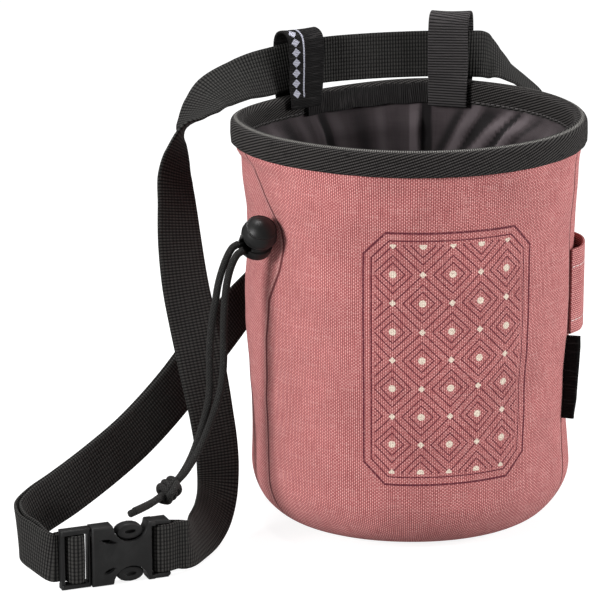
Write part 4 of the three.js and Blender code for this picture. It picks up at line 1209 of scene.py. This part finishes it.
# %% Belt route
BELT_WIDTH = 20 * MM
BELT_THICKNESS = 1.6 * MM
BAR = 3 * MM
WRAP = BAR / 2 + 0.5 * MM + BELT_THICKNESS / 2
LAYER = BELT_THICKNESS + 0.5 * MM
BUCKLE_HEIGHT = 24.5 * MM
BUCKLE_LENGTH = 43.6 * MM
PLUG_FRAME = 12 * MM
BUCKLE_TURN = math.radians(21.7)
BUCKLE_BASE = Vector((-1.944 * RIM_RADIUS, -1.35 * RIM_RADIUS, 0))
BELT_LOW = BELT_WIDTH / 2 + 0.4 * MM
BELT_HIGH = BAG_HEIGHT + 1.1 * MM + BELT_WIDTH / 2
ADJUSTER_BAR = PLUG_FRAME / 2 + 0.5 * MM
SOCKET_BAR = BUCKLE_LENGTH - BAR / 2 - 0.3 * MM
FRONT_STRAND = [
    (-1.26, -1.04, 0.001, 0.06, 0.04, -1), (-1.203, -0.86, -0.003, 0.38, 0.28, -0.88),
    (-1.152, -0.66, -0.001, 0.58, 0.4, -0.71), (-1.118, -0.5, 0.02, 0.74, 0.46, -0.5),
    (-1.104, -0.41, 0.058, 0.82, 0.5, -0.26), (-1.107, -0.37, 0.13, 0.85, 0.49, -0.17),
    (-1.142, -0.33, 0.23, 0.89, 0.42, -0.14), (-1.19, -0.27, 0.33, 0.96, 0.24, -0.07),
    (-1.239, -0.194, 0.424, 0.98, 0.16, -0.03), (-1.288, -0.125, 0.52, 0.96, 0.27, -0.08),
    (-1.32, -0.042, 0.615, 0.89, 0.44, -0.12), (-1.338, 0.042, 0.703, 0.76, 0.63, -0.16),
    (-1.35, 0.097, 0.76, 0.68, 0.72, -0.17), (-1.34, 0.153, 0.808, 0.49, 0.85, -0.2),
    (-1.306, 0.215, 0.869, 0.08, 0.99, -0.1), (-1.258, 0.271, 0.893, -0.24, 0.97, 0.06),
    (-1.2, 0.34, 0.918, -0.25, 0.89, 0.38), (-1.126, 0.417, 0.945, -0.31, 0.77, 0.56),
    (-0.985, 0.514, 0.967, -0.41, 0.6, 0.67), (-0.796, 0.625, 0.981, -0.21, 0.12, 0.96),
]
TOP_RUN = [
    (-0.565, 0.762, 0.993, 0, 0, 1), (-0.2, 0.885, 0.997, 0, 0, 1), (0.243, 0.925, 1, 0, 0, 1),
    (0.375, 0.922, 0.999, 0, 0.02, 1), (0.454, 0.958, 0.995, 0.05, 0.3, 0.95),
    (0.51, 1.02, 0.981, 0.3, 0.8, 0.5), (0.57, 1.05, 0.962, 0.3, 0.93, 0.15),
    (0.641, 1.072, 0.936, 0.22, 0.97, -0.03), (0.721, 1.086, 0.908, 0.2, 0.98, -0.03),
    (0.8, 1.09, 0.876, 0.2, 0.98, -0.02),
]
BACK_STRAND = [
    (0.852, 1.09, 0.838, 0.18, 0.98, -0.03), (0.862, 1.085, 0.792, 0.12, 0.98, -0.08),
    (0.8, 1.085, 0.742, 0.1, 0.95, -0.28), (0.66, 1.1, 0.7, 0.2, 0.78, -0.58),
    (0.48, 1.125, 0.655, 0.28, 0.45, -0.84), (0.3, 1.14, 0.61, 0.28, 0.16, -0.94),
    (0, 1.11, 0.56, 0.18, 0.04, -0.98),
    (-0.3, 1.03, 0.525, 0.12, -0.04, -0.99), (-0.58, 0.85, 0.495, 0.1, -0.08, -0.99),
    (-0.81, 0.58, 0.463, 0.1, -0.06, -0.99), (-0.968, 0.306, 0.427, 0.16, -0.02, -0.98),
    (-1.16, 0.1, 0.345, 0.28, 0, -0.96), (-1.353, -0.11, 0.254, 0.37, 0, -0.93),
    (-1.564, -0.333, 0.177, 0.42, 0, -0.91), (-1.75, -0.54, 0.13, 0.44, 0, -0.9),
    (-1.95, -0.75, 0.088, 0.42, 0, -0.91), (-2.09, -0.89, 0.062, 0.28, 0, -0.96),
    (-2.155, -1, 0.045, 0.14, 0, -0.99), (-2.145, -1.11, 0.033, 0.04, 0, -1),
    (-2.085, -1.19, 0.024, 0, 0, -1),
]
DOWN = Vector((0, 0, -1))
BUCKLE_MATRIX = Matrix.Translation(BUCKLE_BASE) @ Matrix.Rotation(BUCKLE_TURN, 4, "Z")


def in_buckle(along, back):
    return BUCKLE_MATRIX @ Vector((along, back, BUCKLE_HEIGHT / 2))


def turn_round(bar, start, end, count):
    stations = []
    for i in range(count + 1):
        angle = math.radians(start + (end - start) * i / count)
        stations.append(station(in_buckle(bar + math.cos(angle) * WRAP, math.sin(angle) * WRAP), DOWN))
    return stations


def belt_station(row):
    x, y, rise, side_x, side_y, side_z = row
    z = BELT_LOW + (BELT_HIGH - BELT_LOW) * rise
    return station((x * RIM_RADIUS, y * RIM_RADIUS, z), (side_x, side_y, side_z))


def outer_layer(stations):
    """The free end lies one layer further out than the strap that it follows back."""
    result = []
    last = len(stations) - 1
    for i, (centre, side) in enumerate(stations):
        ahead = (stations[min(last, i + 1)][0] - stations[max(0, i - 1)][0]).normalized()
        result.append((centre - ahead.cross(side).normalized() * LAYER * 1.15, side))
    return result


def buckle_stations(spots):
    return [station(in_buckle(along, back), DOWN) for along, back in spots]


def belt_stations():
    sewn = 11 * MM
    gap_side = BAR / 2 + GAP
    back = [belt_station(r) for r in BACK_STRAND]
    start = buckle_stations([
        (SOCKET_BAR + sewn, -LAYER * 0.5),
        (SOCKET_BAR + sewn * 0.6, -LAYER * 0.55),
        (SOCKET_BAR + sewn * 0.3, -WRAP * 0.86)])
    leaving = buckle_stations([
        (SOCKET_BAR + sewn * 0.3, WRAP * 0.86),
        (SOCKET_BAR + sewn * 0.6, LAYER * 0.55)])
    arriving = buckle_stations([
        (-2.2 * MM, gap_side + LAYER * 1.75),
        (2.2 * MM, gap_side + LAYER * 1.6),
        (ADJUSTER_BAR - 0.4 * MM, gap_side + LAYER * 1.5),
        (ADJUSTER_BAR + WRAP * 0.8, WRAP * 0.75)])
    tail_start = buckle_stations([
        (ADJUSTER_BAR - WRAP - 0.35 * MM, WRAP * 0.62),
        (1.6 * MM, gap_side + GAP + BELT_THICKNESS / 2),
        (-2.2 * MM, gap_side + BELT_THICKNESS * 0.7)])
    tail = outer_layer(back[-9:])[::-1]
    return (start + turn_round(SOCKET_BAR, 290, 70, 5) + leaving + [belt_station(r) for r in FRONT_STRAND]
            + [belt_station(r) for r in TOP_RUN] + back + arriving
            + turn_round(ADJUSTER_BAR, 0, -180, 4) + tail_start + tail)


belt = strip("belt_webbing_strip", belt_stations(), BELT_WIDTH, BELT_THICKNESS, 6, crown=0.1 * MM)

# %% Webbing finish
webbing_finish, tree, shader = new_finish("belt_webbing", 0.72, sheen=0.02, specular=0.1)
uv_map = cloth_map(tree)
bumps = place_group(grid, Vector=uv_map, Across=0.0016, Along=0.00122)
streaks = place_group(yarn, Vector=uv_map, Upright_thread=1.0)
tone = blend(ramp(bumps["Height"], 0.2, 0.9), (0.003, 0.003, 0.003, 1), (0.016, 0.0155, 0.015, 1))
tone = blend(times(bumps["Dot"], 0.6), tone, (0.06, 0.058, 0.054, 1))
tone = blend(ramp(streaks["Streak"], 0.55, 0.8, 0.0, 0.3), tone, (0.045, 0.044, 0.042, 1))
feed(shader.inputs["Base Color"], tone)
raise_bump(shader, bumps["Height"], 0.0003)
belt.data.materials.append(webbing_finish)
dress(belt, "bag", "webbing", "belt_webbing")

# %% [markdown]
# ## Belt loops and inner tape
#
# Two strips stand over the rim at the back and carry the belt. Each goes up from the inside of
# the rim, over the belt, and down the outside. Behind their legs a ribbed tape strengthens the
# rim from inside.

# %% Loops
LOOP_WIDTH = 17 * MM
LOOP_TAPE = 1.2 * MM
INNER_TAPE = 1.1 * MM
INSIDE_FACE = BINDING_INNER * math.cos(math.pi / 44)


def loop_stations(angle, lift, turn, leg_inside):
    out = around(angle, 1, 0)
    side = out.cross(Vector((0, 0, 1))).normalized()
    rim_top = rim_fall(angle, BAG_HEIGHT)
    tape_face = INSIDE_FACE - INNER_TAPE - GAP * 2
    inside = math.sqrt(tape_face ** 2 - (LOOP_WIDTH / 2) ** 2) - LOOP_TAPE / 2
    outside = RIM_RADIUS + GAP + LOOP_TAPE / 2 + 0.2 * MM
    middle, half = (inside + outside) / 2, (outside - inside) / 2
    crown = rim_top + 1.1 * MM + BELT_WIDTH + 6.5 * MM * lift
    rows = [(inside, rim_top - leg_inside * MM, 0), (inside, rim_top, 0), (inside, rim_top + 3 * MM, 0.6)]
    for k in range(5):
        bend = math.radians(45 * k)
        rows.append((middle - math.cos(bend) * half, crown - half + math.sin(bend) * half, 1))
    rows += [(outside, rim_top + up * MM, turned) for up, turned in ((3, 0.6), (-2.4, 0), (-12, 0))]
    stations = []
    for radius, z, turned in rows:
        turned_side = Matrix.Rotation(math.radians(turn * turned), 3, "Z") @ side
        stations.append(station(around(angle, radius, z), turned_side))
    return stations


loop_left = strip("belt_loop_left_tape", loop_stations(132.4, 0.95, -12.5, 5), LOOP_WIDTH, LOOP_TAPE, 6)
loop_right = strip("belt_loop_right_tape", loop_stations(73.9, 1.2, 15, 11), LOOP_WIDTH, LOOP_TAPE, 6)

# %% Inner tape
TAPE_MIDDLE = (132.4 + 73.9) / 2 - 4
tape_stations = []
for k in range(29):
    angle = TAPE_MIDDLE - 31 + 62 * k / 28
    z = BAG_HEIGHT - 1.2 * MM - 8.9 * MM / 2
    wave = 0.25 * MM * math.sin(k * 1.1)
    spot = around(angle, INSIDE_FACE - GAP - INNER_TAPE / 2, rim_fall(angle, z) + wave)
    tape_stations.append(station(spot, (0, 0, 1)))
inner_tape = strip("inner_tape_strip", tape_stations, 8.9 * MM, INNER_TAPE, 3)

# %% Tape finishes
def tape_finish(name, step, light, with_label=False):
    finish, tree, shader = new_finish(name, 0.78, sheen=0.02, specular=0.1)
    uv_map = cloth_map(tree)
    grain = place_group(ribs, Vector=uv_map, Step=step, Slope=0.0, Thread=0.0005)
    streaks = place_group(yarn, Vector=uv_map, Upright_thread=0.0)
    dark = (0.0035, 0.0032, 0.0034, 1)
    tone = blend(ramp(grain["Height"], 0.2, 0.9), dark, (light, light * 0.92, light * 0.93, 1))
    tone = blend(ramp(streaks["Streak"], 0.52, 0.78, 0.0, 0.4), tone, (0.08, 0.074, 0.074, 1))
    if with_label:
        xyz = split(uv_map)
        line = absolute(minus(xyz[0], LABEL_LINE))
        line = ramp(line, 0.00028, 0.00045, 1.0, 0.0)
        along = minus(fraction(over(xyz[1], LABEL_STEP)), 0.5)
        reach = times(absolute(along), LABEL_STEP)
        aside = absolute(minus(xyz[0], LABEL_DIAMONDS))
        diamond = ramp(plus(reach, aside), 0.00185, 0.0021, 1.0, 0.0)
        mask = times(larger(line, diamond), ramp(xyz[1], 0.0045, 0.005))
        tone = blend(mask, tone, (0.56, 0.56, 0.66, 1))
    feed(shader.inputs["Base Color"], tone)
    raise_bump(shader, grain["Height"], 0.0004)
    return finish


LABEL_STEP = 4.4 * MM
LABEL_DIAMONDS = 21.6 * MM
LABEL_LINE = 25.4 * MM
ribbed_finish = tape_finish("ribbed_tape", 0.00116, 0.075)
label_finish = tape_finish("label_tape", 0.0007, 0.014, with_label=True)
inner_finish = tape_finish("inner_ribbed_tape", 0.0009, 0.03)
for piece, node, finish in ((loop_left, "belt_loop_left", label_finish),
                            (loop_right, "belt_loop_right", ribbed_finish),
                            (inner_tape, "inner_tape", inner_finish)):
    piece.data.materials.append(finish)
    dress(piece, "bag", "loop_tape", node)

# %% [markdown]
# ## Brush loop and side tab
#
# On the right side a sleeve of the rose cloth holds a brush. It is a flat piece sewn down along
# the side seam and along a second seam behind it, so it stands off the wall as a flat D, open at
# the top and the bottom. The black tab below it is a tape folded in half and caught in the seam,
# so its fold stands straight out.

# %% Brush loop
SLEEVE_LEVEL = BAG_HEIGHT * 0.587
SLEEVE_HEIGHT = 36 * MM
SLEEVE_CLOTH = 1.2 * MM
SLEEVE_ROWS = [(0.6, 0.002), (2.6, 0.018), (6, 0.044), (10.5, 0.055), (15.5, 0.058), (20.5, 0.048),
               (24.5, 0.02), (26.6, 0.002)]


def sleeve_stations():
    stations = []
    for turn, stand in SLEEVE_ROWS:
        angle = RIGHT_SEAM + turn
        radius = body_radius(angle, SLEEVE_LEVEL) + stand * RIM_RADIUS + SLEEVE_CLOTH / 2
        stations.append(station(around(angle, radius, SLEEVE_LEVEL), (0, 0, 1)))
    return stations


brush = strip("brush_loop_cloth", sleeve_stations(), SLEEVE_HEIGHT, SLEEVE_CLOTH, 8)
dress(brush, "bag", "shell_fabric", "brush_loop")

# %% Hems of the brush loop
SLEEVE_EDGE_RUN = 1.56 * MM
SLEEVE_STITCHES = (SLEEVE_EDGE_RUN + 7.0 * MM, SLEEVE_EDGE_RUN + 29.8 * MM)
sleeve_finish = rose_finish("rose_cloth_hemmed", stitch_rows=SLEEVE_STITCHES)
brush.data.materials.append(sleeve_finish)

# %% Side tab
TAB_TAPE = 1.8 * MM
TAB_ROWS = [(0.272, 0.031), (0.33, 0.036), (0.4, 0.038), (0.45, 0.037), (0.479, 0.035)]
TAB_FOLD = [(0.0, 0.9), (0.3, 0.9), (0.6, 0.95), (0.82, 1.0), (0.93, 0.85), (0.98, 0.5), (1.0, 0.0)]
tab_section = TAB_FOLD + [(reach, -half) for reach, half in TAB_FOLD[-2::-1]]


def tab_place(s, t):
    height = TAB_ROWS[0][0] + (TAB_ROWS[-1][0] - TAB_ROWS[0][0]) * t
    z = height * BAG_HEIGHT
    start = body_radius(RIGHT_SEAM, z) + 0.25 * MM
    outer = body_radius(RIGHT_SEAM, z) + column(TAB_ROWS, height) * BAG_HEIGHT
    reach, half = tab_section[round(s * len(tab_section)) % len(tab_section)]
    out = around(RIGHT_SEAM, 1, 0)
    aside = out.cross(Vector((0, 0, 1)))
    sway = 0.4 * MM * math.sin(t * 5) * reach
    return around(RIGHT_SEAM, start + (outer - start) * reach, z) + aside * (half * TAB_TAPE / 2 + sway)


tab = rolled_patch("side_tab_tape", len(tab_section), 24, (0.016, 0.035), tab_place)
tab.data.materials.append(tape_finish("tab_tape", 0.0006, 0.004))
dress(tab, "bag", "side_label", "side_tab")

# %% [markdown]
# ## Moulded plastic
#
# The buckle and the cord lock are satin black plastic with a very fine grain. Slow clouds vary its
# tone and its roughness a little, as handling does.

# %% Plastic finish
plastic_finish, tree, shader = new_finish("moulded_plastic", 0.36, specular=0.32)
place = add_node(tree, "ShaderNodeTexCoord").outputs["Object"]
grain = cloud(place, 2600.0, 2.0)
smudge = cloud(place, 120.0, 3.0)
tone = blend(ramp(smudge, 0.3, 0.75), (0.006, 0.006, 0.006, 1), (0.011, 0.011, 0.011, 1))
feed(shader.inputs["Base Color"], tone)
feed(shader.inputs["Roughness"], ramp(smudge, 0.2, 0.8, 0.36, 0.52))
raise_bump(shader, grain, 0.00004)

# %% [markdown]
# Moulded edges are never sharp, and their small rounding is what catches the light. Each plastic
# piece is a copy of its solid with doubles merged and flat faces joined, and every edge that turns
# by more than 35 degrees is bevelled.


# %% Round the edges of the plastic pieces
SOLID_WELD = 1e-6
FLAT_ANGLE, BEVEL_ANGLE, CREASE_ANGLE = (math.radians(a) for a in (1, 35, 40))


def rounded_copy(node, rounding):
    mesh = bpy.data.meshes.new(node + "_moulded")
    with editing(mesh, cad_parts[node].data) as bm:
        bmesh.ops.remove_doubles(bm, verts=bm.verts, dist=SOLID_WELD)
        bmesh.ops.dissolve_limit(bm, angle_limit=FLAT_ANGLE, verts=bm.verts, edges=bm.edges)
        sharp = [e for e in bm.edges if len(e.link_faces) == 2 and e.calc_face_angle(0) > BEVEL_ANGLE]
        bmesh.ops.bevel(bm, geom=sharp, offset=rounding, offset_type="OFFSET", segments=2, profile=0.5,
                        affect="EDGES", clamp_overlap=True, material=-1)
    mesh.shade_smooth()
    mesh.set_sharp_from_angle(angle=CREASE_ANGLE)
    piece = make_object(node + "_moulded", mesh)
    mesh.materials.append(plastic_finish)
    print(node, "faces", len(mesh.polygons))
    return piece


PLASTIC_ROWS = [
    ("buckle_socket", "bag", "buckle_plastic", 0.4 * MM),
    ("buckle_plug", "bag", "buckle_plastic", 0.4 * MM),
    ("lock_barrel", "bag", "lock_plastic", 0.5 * MM),
    ("lock_button", "button", "lock_plastic", 0.5 * MM),
]
for node, body, slot, rounding in PLASTIC_ROWS:
    dress(rounded_copy(node, rounding), body, slot, node)
